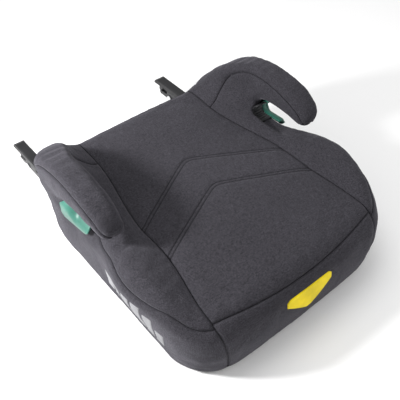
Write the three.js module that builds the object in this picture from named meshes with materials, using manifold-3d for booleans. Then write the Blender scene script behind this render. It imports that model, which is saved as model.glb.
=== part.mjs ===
// Backless car booster seat with a rigid shell, padded fabric cover, lap-belt slots under both
// armrests and a retractable pair of latch arms at the back.
//
// Frame: millimetres, +Z up, the child faces -Y. The origin is on the ground plane, midway
// between the two sides, 175 mm in front of the cover's back face.
import * as THREE from "three";
import { mergeVertices } from "three/addons/utils/BufferGeometryUtils.js";
import Module from "manifold-3d";

const wasm = await Module();
wasm.setup();

// ---------------------------------------------------------------- driving dimensions

const FIT_GAP = 0.3; // clearance between neighbouring pieces
const REACH = 260; // further out than any face of the seat
const UNDERSIDE = 2; // height of the cover's hem above the ground
const WALL_PAD = 9; // cover and padding over the shell's walls
const SHELL_WALL = 3;
const SHELL_TOP = 88; // height of the shell's flat top
const FRONT = 191; // distance from the origin to the front face at the ground
const BACK = 175; // distance from the origin to the back face
const HALF_WIDTH = 169; // at the ground
const ARM_SPLIT = 168; // plane that divides an armrest's inner and outer panels
const ANCHOR_X = 140; // latch arms sit 280 mm apart, the standard anchor spacing
const LATCH_TRAVEL = 110; // how far the latch arms slide in and out
const MOUTH_Z = 45.5; // height of the anchor bar in the latch mouths
const BACK_SEAM_Y = 167;
const BACK_SEAM_X = 118;
const PLATE_TOP = 6.3; // upper face of the base plate

// Armrest centre line in the side view: y, z and half-thickness.
const ARMREST_LINE = [
  [122, 66, 44],
  [124, 112, 40],
  [104, 147, 33],
  [60, 166, 25],
  [16, 166, 20.5],
  [-8, 160, 17.5],
  [-22, 152, 14],
];
// Belt slot centre line in the side view: y, z and half-height.
const SLOT_LINE = [
  [50, 126, 12],
  [8, 131, 14],
  [-46, 134, 5],
];
const SLOT_FRONT = -46;
// Seams of the armrest's inner and outer panels in the side view: y, z.
const INNER_SEAM = [
  [110, 60],
  [112, 118],
  [118, 138],
  [112, 160],
  [90, 176],
  [55, 181],
  [15, 175],
  [-14, 163],
  [-30, 148],
];
const OUTER_SEAM = [
  [140, -20],
  [140, 110],
  [128, 150],
  [105, 172],
  [60, 182],
  [15, 178],
  [-12, 169],
  [-30, 151],
];

// ---------------------------------------------------------------- blending functions

const lerp = (a, b, t) => a + (b - a) * t;

function smoothStep(from, to, value) {
  const t = Math.min(Math.max((value - from) / (to - from), 0), 1);
  return t * t * (3 - 2 * t);
}

const bell = (value, middle, width) => Math.exp(-(((value - middle) / width) ** 2));

// Intersection of two regions with their shared edge rounded to the radius.
function roundedMax(a, b, radius) {
  const u = Math.max(a + radius, 0);
  const v = Math.max(b + radius, 0);
  return Math.min(Math.max(a, b), -radius) + Math.hypot(u, v);
}

// Union of two regions with a fillet of about the given size.
function blendedMin(a, b, size) {
  const h = Math.max(size - Math.abs(a - b), 0) / size;
  return Math.min(a, b) - (h * h * h * size) / 6;
}

// Distance to a chain of round links that follows [y, z, radius] points.
function chainDistance(y, z, line) {
  let nearest = Infinity;
  for (let i = 1; i < line.length; i += 1) {
    const [y0, z0, r0] = line[i - 1];
    const [y1, z1, r1] = line[i];
    const dy = y1 - y0;
    const dz = z1 - z0;
    const along = ((y - y0) * dy + (z - z0) * dz) / (dy * dy + dz * dz);
    const t = Math.min(Math.max(along, 0), 1);
    const radius = lerp(r0, r1, t);
    nearest = Math.min(nearest, Math.hypot(y - y0 - t * dy, z - z0 - t * dz) - radius);
  }
  return nearest;
}

// A smooth curve through points of any number of values.
function smoothLine(points, steps) {
  const curve = new THREE.CatmullRomCurve3(points.map((p) => new THREE.Vector3(...p)));
  curve.curveType = "catmullrom";
  return curve.getPoints((points.length - 1) * steps).map((p) => p.toArray());
}

// ---------------------------------------------------------------- form of the covered seat

const armrestChain = smoothLine(ARMREST_LINE, 3);

// Half-spacing of the two long seams that border the seat's centre panel.
function seamX(y) {
  return 100 + 22 * smoothStep(120, -30, y) + 14 * smoothStep(-60, -170, y);
}

// Height of the seam between a bolster and its side panel.
function sideSeamZ(y) {
  const rise = 16 * smoothStep(-176, -130, y) + 7 * smoothStep(-130, -40, y);
  return 95 + rise - 10 * smoothStep(-40, 0, y);
}

// Distance in front of the origin of the seam along the seat's front edge.
const frontSeamY = (x) => 188 - 15 * (x / 136) ** 2;

// Half-width of the front panel, which widens with height.
const frontPanelX = (z) => 121 + (15 * z) / 94;

function seatHeight(across, y) {
  const middle = lerp(123, 116, smoothStep(170, 20, y)) - 14 * smoothStep(-50, -200, y);
  const inner = seamX(y) - 8;
  const bolster = 14 * smoothStep(inner, inner + 50, across) * smoothStep(-200, -110, y);
  const beltDip = 24 * bell(y, 32, 42) * smoothStep(140, 182, across);
  return middle + bolster - beltDip;
}

// Signed distance to the padded base without its armrests.
function baseField(x, y, z) {
  const across = Math.abs(x);
  const bulge = 18 * bell(y, -74, 58) * smoothStep(5, 110, z);
  const taper = 0.0012 * Math.max(y - 60, 0) ** 2;
  const side = across - (HALF_WIDTH + 5 * smoothStep(0, 95, z) + bulge - taper);
  const front = -y - (FRONT + 9 * bell(z, 52, 42) - 4 * (across / 140) ** 2);
  const back = y - (BACK - 0.0002 * across ** 2);
  const plan = roundedMax(roundedMax(side, front, 60), back, 38);
  const topRadius = lerp(26, 15, smoothStep(60, 150, y));
  const topped = roundedMax(plan, z - seatHeight(across, y), topRadius);
  return roundedMax(topped, UNDERSIDE - z, 7);
}

// Signed distance to one armrest, the same on both sides.
function armrestField(x, y, z) {
  const across = Math.abs(x);
  const outer = lerp(167, 190, smoothStep(70, 172, z)) - 4 * smoothStep(10, -50, y);
  const inner = 146 - 16 * smoothStep(70, 150, y) + 3 * smoothStep(10, -50, y);
  const profile = roundedMax(chainDistance(y, z, armrestChain), inner - across, 15);
  const backCorner = roundedMax(across - outer, y - 160, 52);
  const frontCorner = roundedMax(across - outer, -y - 36, 15);
  return roundedMax(roundedMax(profile, backCorner, 15), frontCorner, 8);
}

function slotField(x, y, z) {
  const open = roundedMax(chainDistance(y, z, SLOT_LINE), SLOT_FRONT - y, 6);
  return roundedMax(open, 136 - Math.abs(x), 10);
}

// Signed distance to the whole covered seat.
function seatField(x, y, z) {
  const fillet = lerp(12, 56, smoothStep(25, 95, y));
  const joined = blendedMin(baseField(x, y, z), armrestField(x, y, z), fillet);
  return Math.max(joined, -slotField(x, y, z));
}

// ---------------------------------------------------------------- solids

function toSolid(geometry) {
  const bare = geometry.clone();
  bare.deleteAttribute("normal");
  bare.deleteAttribute("uv");
  const merged = mergeVertices(bare, 1e-4);
  return new wasm.Manifold(
    new wasm.Mesh({
      numProp: 3,
      vertProperties: new Float32Array(merged.attributes.position.array),
      triVerts: new Uint32Array(merged.index.array),
    }),
  );
}

function toGeometry(solid) {
  const mesh = solid.getMesh();
  const geometry = new THREE.BufferGeometry();
  geometry.setAttribute("position", new THREE.BufferAttribute(mesh.vertProperties, 3));
  geometry.setIndex(new THREE.BufferAttribute(mesh.triVerts, 1));
  return geometry;
}

const joinAll = (first, ...others) => others.reduce((whole, next) => whole.add(next), first);

function block(x0, x1, y0, y1, z0, z1) {
  const box = new THREE.BoxGeometry(x1 - x0, y1 - y0, z1 - z0);
  box.translate((x0 + x1) / 2, (y0 + y1) / 2, (z0 + z1) / 2);
  return toSolid(box);
}

function extrude(outline, length) {
  const shape = new THREE.Shape(outline.map((p) => new THREE.Vector2(p[0], p[1])));
  return new THREE.ExtrudeGeometry(shape, { depth: length, bevelEnabled: false });
}

// An outline of [y, z] points, extruded from x0 to x1.
function prismX(outline, x0, x1) {
  const turn = new THREE.Matrix4().makeBasis(
    new THREE.Vector3(0, 1, 0),
    new THREE.Vector3(0, 0, 1),
    new THREE.Vector3(1, 0, 0),
  );
  return toSolid(extrude(outline, x1 - x0).applyMatrix4(turn).translate(x0, 0, 0));
}

// An outline of [x, z] points, extruded from y0 to y1.
function prismY(outline, y0, y1) {
  return toSolid(extrude(outline, y1 - y0).rotateX(Math.PI / 2).translate(0, y1, 0));
}

// An outline of [x, y] points, extruded from z0 to z1.
function prismZ(outline, z0, z1) {
  return toSolid(extrude(outline, z1 - z0).translate(0, 0, z0));
}

// A round bar between x0 and x1.
function barX(x0, x1, y, z, radius, sides = 12) {
  const bar = new THREE.CylinderGeometry(radius, radius, x1 - x0, sides);
  return toSolid(bar.rotateZ(Math.PI / 2).translate((x0 + x1) / 2, y, z));
}

function barY(x, y0, y1, z, radius, sides = 10) {
  const bar = new THREE.CylinderGeometry(radius, radius, y1 - y0, sides);
  return toSolid(bar.translate(x, (y0 + y1) / 2, z));
}

function barZ(x, y, z0, z1, radius, sides = 12) {
  const bar = new THREE.CylinderGeometry(radius, radius, z1 - z0, sides);
  return toSolid(bar.rotateX(Math.PI / 2).translate(x, y, (z0 + z1) / 2));
}

function circle(y, z, radius, sides = 12) {
  const steps = Array.from({ length: sides }, (_, i) => (2 * Math.PI * i) / sides);
  return steps.map((a) => [y + radius * Math.cos(a), z + radius * Math.sin(a)]);
}

// Evenly spaced values, both ends included.
const spread = (from, to, count) =>
  Array.from({ length: count }, (_, i) => lerp(from, to, i / (count - 1)));

// A closed mesh around the region where the field is negative, on a grid of unequal steps:
// one point in each cell that the surface crosses, joined across each crossed grid edge.
function wrapField(field, xs, ys, zs) {
  const sizes = [xs.length, ys.length, zs.length];
  const nodeId = (i, j, k) => (i * sizes[1] + j) * sizes[2] + k;
  const values = new Float64Array(sizes[0] * sizes[1] * sizes[2]);
  xs.forEach((x, i) => ys.forEach((y, j) => zs.forEach((z, k) => {
    values[nodeId(i, j, k)] = field(x, y, z);
  })));
  const points = [];
  const cellPoint = new Map();
  const slope = 0.5;

  function settle(p) {
    for (let round = 0; round < 3; round += 1) {
      const value = field(...p);
      const gradient = [0, 1, 2].map((axis) => {
        const ahead = [...p];
        const behind = [...p];
        ahead[axis] += slope;
        behind[axis] -= slope;
        return (field(...ahead) - field(...behind)) / (2 * slope);
      });
      const steepness = Math.max(gradient.reduce((sum, g) => sum + g * g, 0), 0.25);
      gradient.forEach((g, axis) => {
        p[axis] -= (value * g) / steepness;
      });
    }
    return p;
  }

  function pointOf(i, j, k) {
    const key = nodeId(i, j, k);
    if (cellPoint.has(key)) return cellPoint.get(key);
    const sum = [0, 0, 0];
    let count = 0;
    for (let axis = 0; axis < 3; axis += 1) {
      for (let corner = 0; corner < 4; corner += 1) {
        const low = [i, j, k];
        low[(axis + 1) % 3] += corner & 1;
        low[(axis + 2) % 3] += corner >> 1;
        const high = [...low];
        high[axis] += 1;
        const a = values[nodeId(...low)];
        const b = values[nodeId(...high)];
        if (a < 0 !== b < 0) {
          const t = a / (a - b);
          sum[0] += lerp(xs[low[0]], xs[high[0]], t);
          sum[1] += lerp(ys[low[1]], ys[high[1]], t);
          sum[2] += lerp(zs[low[2]], zs[high[2]], t);
          count += 1;
        }
      }
    }
    points.push(...settle(sum.map((s) => s / count)));
    cellPoint.set(key, points.length / 3 - 1);
    return cellPoint.get(key);
  }

  const triangles = [];
  for (let axis = 0; axis < 3; axis += 1) {
    const u = (axis + 1) % 3;
    const v = (axis + 2) % 3;
    for (let i = 0; i < sizes[0]; i += 1) {
      for (let j = 0; j < sizes[1]; j += 1) {
        for (let k = 0; k < sizes[2]; k += 1) {
          const low = [i, j, k];
          if (low[axis] === sizes[axis] - 1 || low[u] === 0 || low[v] === 0) continue;
          const high = [...low];
          high[axis] += 1;
          const inside = values[nodeId(...low)] < 0;
          if (inside === values[nodeId(...high)] < 0) continue;
          const around = [[0, 0], [-1, 0], [-1, -1], [0, -1]].map(([du, dv]) => {
            const cell = [...low];
            cell[u] += du;
            cell[v] += dv;
            return pointOf(...cell);
          });
          if (!inside) around.reverse();
          triangles.push(around[0], around[1], around[2], around[0], around[2], around[3]);
        }
      }
    }
  }
  const geometry = new THREE.BufferGeometry();
  geometry.setAttribute("position", new THREE.Float32BufferAttribute(points, 3));
  geometry.setIndex(triangles);
  return geometry;
}

// Heights between which the base's walls are free of its rounded edges.
const WALL_SAMPLE = [30, 60];

// A lofted core: rings that stay a set depth inside the padded base, closed at both ends.
function loftInsideBase(rings, sides = 40) {
  const centreY = -10;
  const points = [];
  const triangles = [];
  rings.forEach(([z, depth]) => {
    const sampleZ = Math.min(Math.max(z, WALL_SAMPLE[0]), WALL_SAMPLE[1]);
    for (let i = 0; i < sides; i += 1) {
      const angle = (2 * Math.PI * (i + 0.5)) / sides;
      let near = 60;
      let far = 260;
      for (let round = 0; round < 24; round += 1) {
        const radius = (near + far) / 2;
        const x = radius * Math.cos(angle);
        const y = centreY + radius * Math.sin(angle);
        if (baseField(x, y, sampleZ) < -depth) near = radius;
        else far = radius;
      }
      points.push(near * Math.cos(angle), centreY + near * Math.sin(angle), z);
    }
  });
  const lastRing = (rings.length - 1) * sides;
  points.push(0, centreY, rings[0][0], 0, centreY, rings[rings.length - 1][0]);
  const floor = rings.length * sides;
  for (let i = 0; i < sides; i += 1) {
    const next = (i + 1) % sides;
    triangles.push(floor, next, i, floor + 1, lastRing + i, lastRing + next);
    for (let ring = 0; ring < rings.length - 1; ring += 1) {
      const a = ring * sides;
      const b = a + sides;
      triangles.push(a + i, a + next, b + next, a + i, b + next, b + i);
    }
  }
  const geometry = new THREE.BufferGeometry();
  geometry.setAttribute("position", new THREE.Float32BufferAttribute(points, 3));
  geometry.setIndex(triangles);
  return toSolid(geometry);
}

// ---------------------------------------------------------------- hard core of the seat

const SHELL_RIM = PLATE_TOP + FIT_GAP;
const CORE_X = [153, 161]; // the shell's web inside each armrest
const CORE_REACH = 24; // most that the web spreads from the armrest's centre line
const SCREW_PLACES = [[118, -118], [100, 130], [38, 130]];
const FOOT_PLACES = [[104, -150], [118, 104]];
const HANDLE_RECESS = [-33, 33, -178, -133];

// Outline of the web inside an armrest, set in from the padding.
function armrestCoreOutline(growth) {
  const upper = [];
  const lower = [];
  armrestChain.forEach(([y, z, thickness], i) => {
    const before = armrestChain[Math.max(i - 1, 0)];
    const after = armrestChain[Math.min(i + 1, armrestChain.length - 1)];
    const length = Math.hypot(after[0] - before[0], after[1] - before[1]);
    const normal = [(after[1] - before[1]) / length, -(after[0] - before[0]) / length];
    const reach = Math.min(thickness - WALL_PAD, CORE_REACH) + growth;
    upper.push([y + normal[0] * reach, z + normal[1] * reach]);
    lower.push([y - normal[0] * reach, z - normal[1] * reach]);
  });
  const [tipY, tipZ, tipSize] = armrestChain[armrestChain.length - 1];
  const tip = [tipY - (tipSize - WALL_PAD + growth), tipZ - 2];
  return [...upper, tip, ...lower.reverse()];
}

// The space that the shell and the foam take, grown for a fitted neighbour.
function shellEnvelope(growth) {
  const tray = loftInsideBase([
    [-5, WALL_PAD - growth],
    [80, WALL_PAD - growth],
    [SHELL_TOP + growth, WALL_PAD + 4 - growth],
  ]);
  const web = [CORE_X[0] - growth, CORE_X[1] + growth];
  const right = prismX(armrestCoreOutline(growth), web[0], web[1]);
  const left = prismX(armrestCoreOutline(growth), -web[1], -web[0]);
  return joinAll(tray, right, left);
}

// Seat foam: a flat-bottomed block whose top keeps a set depth under the seat's surface.
function seatFoam(growth) {
  const xs = spread(-92 - growth, 92 + growth, 7);
  const ys = spread(-160 - growth, 156 + growth, 9);
  const floorZ = SHELL_TOP + FIT_GAP - growth;
  const points = [];
  const triangles = [];
  const id = (i, j) => (i * ys.length + j) * 2;
  xs.forEach((x) => ys.forEach((y) => {
    const edgeDrop = y < -150 ? 5 : 0;
    points.push(x, y, seatHeight(Math.abs(x), y) - 8 - edgeDrop + growth, x, y, floorZ);
  }));
  const quad = (a, b, c, d) => triangles.push(a, b, c, a, c, d);
  const lastX = xs.length - 1;
  const lastY = ys.length - 1;
  for (let i = 0; i < lastX; i += 1) {
    for (let j = 0; j < lastY; j += 1) {
      quad(id(i, j), id(i + 1, j), id(i + 1, j + 1), id(i, j + 1));
      quad(id(i, j) + 1, id(i, j + 1) + 1, id(i + 1, j + 1) + 1, id(i + 1, j) + 1);
    }
    quad(id(i, 0) + 1, id(i + 1, 0) + 1, id(i + 1, 0), id(i, 0));
    quad(id(i + 1, lastY) + 1, id(i, lastY) + 1, id(i, lastY), id(i + 1, lastY));
  }
  for (let j = 0; j < lastY; j += 1) {
    quad(id(0, j + 1) + 1, id(0, j) + 1, id(0, j), id(0, j + 1));
    quad(id(lastX, j) + 1, id(lastX, j + 1) + 1, id(lastX, j + 1), id(lastX, j));
  }
  const geometry = new THREE.BufferGeometry();
  geometry.setAttribute("position", new THREE.Float32BufferAttribute(points, 3));
  geometry.setIndex(triangles);
  return toSolid(geometry);
}

// Opening in the back wall that a latch arm slides through, lower at its mouth so that the jaw can open there.
function latchTunnel(side, growth) {
  const [floor, mouthFloor, top] = [30.5 - growth, 18.2 - growth, 65 + growth];
  const profile = [
    [110, floor],
    [146 - growth, floor],
    [165 - growth, mouthFloor],
    [200, mouthFloor],
    [200, top],
    [110, top],
  ];
  return prismX(profile, side * ANCHOR_X - 9.7 - growth, side * ANCHOR_X + 9.7 + growth);
}

function seatShell() {
  const outside = loftInsideBase([[SHELL_RIM, WALL_PAD], [80, WALL_PAD], [SHELL_TOP, WALL_PAD + 4]]);
  const wall = WALL_PAD + SHELL_WALL;
  const ceiling = SHELL_TOP - SHELL_WALL;
  const inside = loftInsideBase([[-1, wall], [78, wall], [ceiling, wall + 4]]);
  let shell = outside.subtract(inside);
  [-1, 1].forEach((side) => {
    const web = [side * CORE_X[0], side * CORE_X[1]].sort((a, b) => a - b);
    const core = prismX(armrestCoreOutline(0), web[0], web[1]);
    shell = shell.add(core.subtract(inside)).subtract(latchTunnel(side, 0));
    SCREW_PLACES.forEach(([x, y]) => {
      shell = shell.add(barZ(side * x, y, SHELL_RIM, SHELL_TOP - 1, 5.5, 10));
      shell = shell.subtract(barZ(side * x, y, SHELL_RIM - 1, 26, 2.1, 10));
    });
  });
  return shell;
}

const ROD_Z = 12;
const ROD_STOP = [-127, -124];

function basePlate() {
  const low = UNDERSIDE + FIT_GAP;
  let plate = loftInsideBase([[low, WALL_PAD], [PLATE_TOP, WALL_PAD]]);
  const stop = block(-8, 8, ROD_STOP[0], ROD_STOP[1], PLATE_TOP - 1, 20);
  plate = plate.add(stop.subtract(barY(0, ROD_STOP[0] - 1, ROD_STOP[1] + 1, ROD_Z, 3.2)));
  const [x0, x1, y0, y1] = HANDLE_RECESS;
  plate = plate.subtract(block(x0, x1, y0, y1, 0, 10));
  [-1, 1].forEach((side) => {
    SCREW_PLACES.forEach(([x, y]) => {
      plate = plate.subtract(barZ(side * x, y, 0, 5.3, 4.4, 10));
      plate = plate.subtract(barZ(side * x, y, 0, 10, 2.1, 10));
    });
    FOOT_PLACES.forEach(([x, y]) => {
      plate = plate.subtract(barZ(side * x, y, 0, 5.3, 11.3, 16));
    });
    spread(32, 80, 2).forEach((x) => spread(-84, 84, 4).forEach((y) => {
      const left = side * x - 18;
      plate = plate.subtract(block(left, left + 36, y - 22, y + 22, 0, low + 1.5));
    }));
  });
  return plate;
}

function baseScrew(x, y) {
  return joinAll(barZ(x, y, 2.6, 5, 4, 10), barZ(x, y, 4, 23, 1.8, 8));
}

const rubberFoot = (x, y) => barZ(x, y, 0, 5, 11, 16);

// ---------------------------------------------------------------- belt slots

// Floor of a belt slot, moved out by the offset, from a front end behind the slot's middle round its root.
function slotEdge(offset, frontY, endAngle) {
  const [root, middle] = SLOT_LINE;
  const [run, rise] = [root[0] - middle[0], root[1] - middle[1]];
  const down = [rise / Math.hypot(run, rise), -run / Math.hypot(run, rise)];
  const front = middle.map((value, i) => lerp(value, root[i], (frontY - middle[0]) / run));
  const floor = down.map((value, i) => front[i] + value * (front[2] + offset));
  const arc = spread(Math.atan2(down[1], down[0]), endAngle, 8).map((angle) => [
    root[0] + (root[2] + offset) * Math.cos(angle),
    root[1] + (root[2] + offset) * Math.sin(angle),
  ]);
  return [floor, ...arc];
}

function slotBand(innerOffset, outerOffset, frontY, endAngle) {
  const inner = slotEdge(innerOffset, frontY, endAngle).reverse();
  return [...slotEdge(outerOffset, frontY, endAngle), ...inner];
}

const GUIDE_Y = [24, 84]; // front and back end of the green guide
const GUIDE_END = Math.PI * 0.42; // where its lip ends, up the slot's root
const GUIDE_LIP = [160, 169];
// The guide's outer edge in [x, z] at its front end: it leaves the lip, slopes down and ends in a flat face.
const GUIDE_EDGE = [
  [166, 115.8],
  [166, 118.1],
  [169.2, 118.1],
  [175.8, 107.5],
  [175.8, 101.6],
  [173.5, 101.6],
  [173.5, 106.7],
  [168, 115.8],
];
const GUIDE_FALL = 0.1; // the outer edge drops towards the back by this much per mm
const GUIDE_FLARE = 0.055; // and stands further out
const LINER_FRONT = 40;
const LINER_END = Math.PI * 0.45;
const LINER_X = [140, 160];

// A piece on the right side, or its mirror image on the left.
function sided(side, x0, x1) {
  return side > 0 ? [x0, x1] : [-x1, -x0];
}

function beltGuide(side, growth) {
  const [front, back] = [GUIDE_Y[0] - growth, GUIDE_Y[1] + growth];
  const lip = slotBand(-2.5 - growth, -FIT_GAP + growth, front, GUIDE_END);
  const span = sided(side, GUIDE_LIP[0] - growth, GUIDE_LIP[1] + growth);
  const slant = [1, 0, 0, 0, side * GUIDE_FLARE, 1, -GUIDE_FALL, 0, 0, 0, 1, 0];
  const start = [-side * GUIDE_FLARE * GUIDE_Y[0], 0, GUIDE_FALL * GUIDE_Y[0], 1];
  const edge = prismY(GUIDE_EDGE.map(([x, z]) => [side * x, z]), front, back).transform([...slant, ...start]);
  const grown = [-growth, growth].flatMap((dx) => [-growth, growth].map((dz) => edge.translate(dx, 0, dz)));
  return joinAll(prismX(lip, span[0], span[1]), ...grown);
}

function slotLiner(side, growth) {
  const band = slotBand(-2.5 - growth, -FIT_GAP + growth, LINER_FRONT - growth, LINER_END);
  const span = sided(side, LINER_X[0] - growth, LINER_X[1] - FIT_GAP + growth);
  return prismX(band, span[0], span[1]);
}

// ---------------------------------------------------------------- padded cover

const BADGE_OUTLINE = [
  [-36, 80],
  [-41, 75],
  [-39, 65],
  [-5, 36],
  [5, 36],
  [39, 65],
  [41, 75],
  [36, 80],
];

function frontBadge(growth) {
  const middleZ = 60;
  const scale = 1 + growth / 20;
  const outline = BADGE_OUTLINE.map(([x, z]) => [x * scale, middleZ + (z - middleZ) * scale]);
  return prismY(outline, -201.6 - growth, -198 + growth);
}

// Grid lines: close together on the armrests and round the edges, wide on the flat seat.
const rightLines = [34, 68, 98, 110, 122, 134, 146, 157, 168, 180, 192, 204];
const GRID_X = [...rightLines.map((x) => -x).reverse(), 0, ...rightLines];
const GRID_Y = [
  ...spread(-213, -158, 5),
  ...spread(-138, -72, 4),
  ...spread(-58, 90, 13),
  ...spread(104, 158, 5),
  169,
  184,
];
const GRID_Z = [-9, 12, 38, 64, 84, ...spread(97, 187, 8), 201];

function coveredSeat() {
  const whole = toSolid(wrapField(seatField, GRID_X, GRID_Y, GRID_Z));
  return whole.intersect(block(-REACH, REACH, -REACH, REACH, UNDERSIDE + 0.4, REACH));
}

// Region between the two long seams, behind the front seam and ahead of the back seam.
function seatPanelRegion(growth) {
  const ys = [...spread(-172, -60, 8), ...spread(-45, 120, 10), BACK_SEAM_Y];
  const side = ys.map((y) => [seamX(y) + growth, y]);
  side[side.length - 1][1] += growth;
  side[0][1] -= growth;
  const front = spread(-112, 112, 7).map((x) => [x, -frontSeamY(x) - growth]);
  const left = side.map(([x, y]) => [-x, y]).reverse();
  return prismZ([...side, ...left, ...front], SHELL_TOP - 4 - growth, REACH);
}

function frontPanelRegion(growth) {
  const high = 150;
  const low = -10;
  const wedge = prismY(
    [
      [-frontPanelX(low) - growth, low],
      [frontPanelX(low) + growth, low],
      [frontPanelX(high) + growth, high],
      [-frontPanelX(high) - growth, high],
    ],
    -REACH,
    -120 + growth,
  );
  const seam = spread(-140, 140, 9).map((x) => [x, -frontSeamY(x) + growth]);
  const ahead = prismZ([[-140, -REACH], [140, -REACH], ...seam.reverse()], SHELL_TOP - 5, high);
  const below = block(-REACH, REACH, -REACH, -119, low, SHELL_TOP - 4);
  return wedge.intersect(ahead.add(below));
}

function backPanelRegion(growth) {
  const x = BACK_SEAM_X + growth;
  const upper = block(-x, x, BACK_SEAM_Y - growth, REACH, SHELL_TOP - 6, REACH);
  return upper.add(block(-x, x, 120, REACH, -10, SHELL_TOP - 4 + growth));
}

// Line through the slot in [y, z]: the slot's floor below it belongs to the bolster.
const SLOT_SPLIT = [[-40, 134], [8, 131], [58, 125]];

// Side panel: everything below the side seam, and the outer face of the armrest.
function sidePanelRegion(side, growth) {
  const seam = spread(-190, 0, 10).map((y) => [y, sideSeamZ(y) + growth]);
  const backEdge = OUTER_SEAM[0][0] + growth;
  const base = [[-REACH, -10], [backEdge, -10], [backEdge, sideSeamZ(0) + growth]];
  const outline = [...base, ...seam.reverse(), [-REACH, sideSeamZ(-190) + growth]];
  const low = sided(side, 60, REACH);
  const armrest = smoothLine(OUTER_SEAM.map(([y, z]) => [y, z, 0]), 2).map(([y, z]) => [
    y + (z < 140 && y > 100 ? growth : 0),
    z + growth,
  ]);
  const outer = sided(side, ARM_SPLIT - growth, REACH);
  const inner = 150 - growth;
  const plan = [[inner, REACH], [inner, -110], [134 - growth, -166], [118 - growth, -REACH]];
  const corners = [...plan, [REACH, -REACH], [REACH, REACH]].map(([x, y]) => [side * x, y]);
  const band = prismZ(corners, 0, 150);
  const ahead = [...SLOT_SPLIT.map(([y, z]) => [y - growth, z]), [SLOT_SPLIT[2][0] - growth, -20]];
  const face = prismX([...armrest, ...ahead], outer[0], outer[1]);
  const wall = prismX(outline, low[0], low[1]);
  const foot = block(low[0], low[1], -REACH, REACH, -10, SHELL_TOP + growth);
  return wall.intersect(foot.add(band)).add(face);
}

// Bolster: the seat's raised border, which runs up the inner face of the armrest.
function bolsterRegion(side, growth) {
  const seam = smoothLine(INNER_SEAM.map(([y, z]) => [y, z, 0]), 2).map(([y, z]) => [
    y + (z < 165 && y > 95 ? growth : 0),
    z + growth,
  ]);
  const ahead = [[-36 - growth, 138], [-37 - growth, 134], [-REACH, 134], [-REACH, 60]];
  const inner = sided(side, 60, ARM_SPLIT + growth);
  const rim = sided(side, 100, REACH);
  const border = prismX([...seam, ...ahead], inner[0], inner[1]);
  const front = block(rim[0], rim[1], -REACH, -40 + growth, 60, 134);
  const floorLine = SLOT_SPLIT.map(([y, z]) => [y + growth, z]);
  const slotFloor = prismX([...floorLine, [SLOT_SPLIT[2][0] + growth, 60], [-41, 60]], rim[0], rim[1]);
  return joinAll(border, front, slotFloor);
}

// Cuts the padding into its sewn panels, and returns them by name.
function coverPanels() {
  let rest = coveredSeat().subtract(shellEnvelope(FIT_GAP)).subtract(seatFoam(FIT_GAP));
  rest = rest.subtract(frontBadge(FIT_GAP));
  [-1, 1].forEach((side) => {
    rest = rest.subtract(latchTunnel(side, 1)).subtract(beltGuide(side, FIT_GAP));
    rest = rest.subtract(slotLiner(side, FIT_GAP));
  });
  const panels = {};
  const take = (name, region) => {
    panels[name] = rest.intersect(region(0));
    rest = rest.subtract(region(FIT_GAP));
  };
  take("cover_seat_panel", seatPanelRegion);
  take("cover_back_panel", backPanelRegion);
  take("cover_front_panel", frontPanelRegion);
  [["left", -1], ["right", 1]].forEach(([word, side]) => {
    take(`cover_side_${word}`, (growth) => sidePanelRegion(side, growth));
    take(`cover_bolster_${word}`, (growth) => bolsterRegion(side, growth));
    const half = sided(side, 1, REACH);
    const region = block(half[0], half[1], -REACH, REACH, -10, REACH);
    panels[`cover_armrest_band_${word}`] = rest.intersect(region);
  });
  return panels;
}

// ---------------------------------------------------------------- latch mechanism

const ARM_HALF = 6.5;
const ARM_SLOT_HALF = 4.6;
const ARM_LOW = 34;
const ARM_TOP = 56;
const JAW_PIVOT = [262, 37.5];
const BRAKE_PIVOT = [-55, 42];
const BRAKE_FACE = 47; // lower face of the brake bar
const SHOE_GAP = 0.1; // the shoe touches the bar; the gap keeps the two solids apart
const SHOE_SPAN = [BRAKE_PIVOT[0] + 22, BRAKE_PIVOT[0] + 34.5];

// A steel latch arm: a square tube that ends in a fork for the anchor bar.
function latchArm(side) {
  const x = side * ANCHOR_X;
  const mouth = spread(Math.PI / 2, (3 * Math.PI) / 2, 5).map((angle) => [
    273 + 4.5 * Math.cos(angle),
    MOUTH_Z + 4.5 * Math.sin(angle),
  ]);
  const profile = [
    [20, ARM_LOW],
    [288, ARM_LOW],
    [291.5, 37],
    [288, MOUTH_Z - 4.5],
    ...mouth.reverse(),
    [299, MOUTH_Z + 4.5],
    [301, 52.5],
    [293, ARM_TOP],
    [20, ARM_TOP],
  ];
  const slotX = [x - ARM_SLOT_HALF, x + ARM_SLOT_HALF];
  const wideX = [x - 10, x + 10];
  let arm = prismX(profile, x - ARM_HALF, x + ARM_HALF);
  arm = arm.subtract(block(slotX[0], slotX[1], 248, 310, 30, 52.5));
  arm = arm.subtract(block(slotX[0], slotX[1], 10, 240, ARM_LOW + 2, ARM_TOP - 2));
  arm = arm.subtract(barX(wideX[0], wideX[1], JAW_PIVOT[0], JAW_PIVOT[1], 3.3));
  arm = arm.subtract(barX(wideX[0], wideX[1], 234, 46, 4));
  const slotEnds = [212, 223].map((y) => barX(wideX[0], wideX[1], y, 46, 3));
  return arm.subtract(joinAll(slotEnds[0], slotEnds[1], block(wideX[0], wideX[1], 212, 223, 43, 49)));
}

// The hooked steel jaw that closes a latch mouth from below.
function latchJaw(side) {
  const x0 = side * ANCHOR_X - 4;
  const x1 = x0 + 4.6;
  const hook = [
    [262, 33.2],
    [285, 33.2],
    [293, 35.5],
    [296, 40],
    [294.5, 46.8],
    [290.5, 47.6],
    [286.5, 44.5],
    [285.5, 40],
    [262, 40],
  ];
  const hub = barX(x0, x1, JAW_PIVOT[0], JAW_PIVOT[1], 5.5, 16);
  const hole = barX(x0 - 1, x1 + 1, JAW_PIVOT[0], JAW_PIVOT[1], 3.3);
  return joinAll(prismX(hook, x0, x1), hub).subtract(hole);
}

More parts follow.
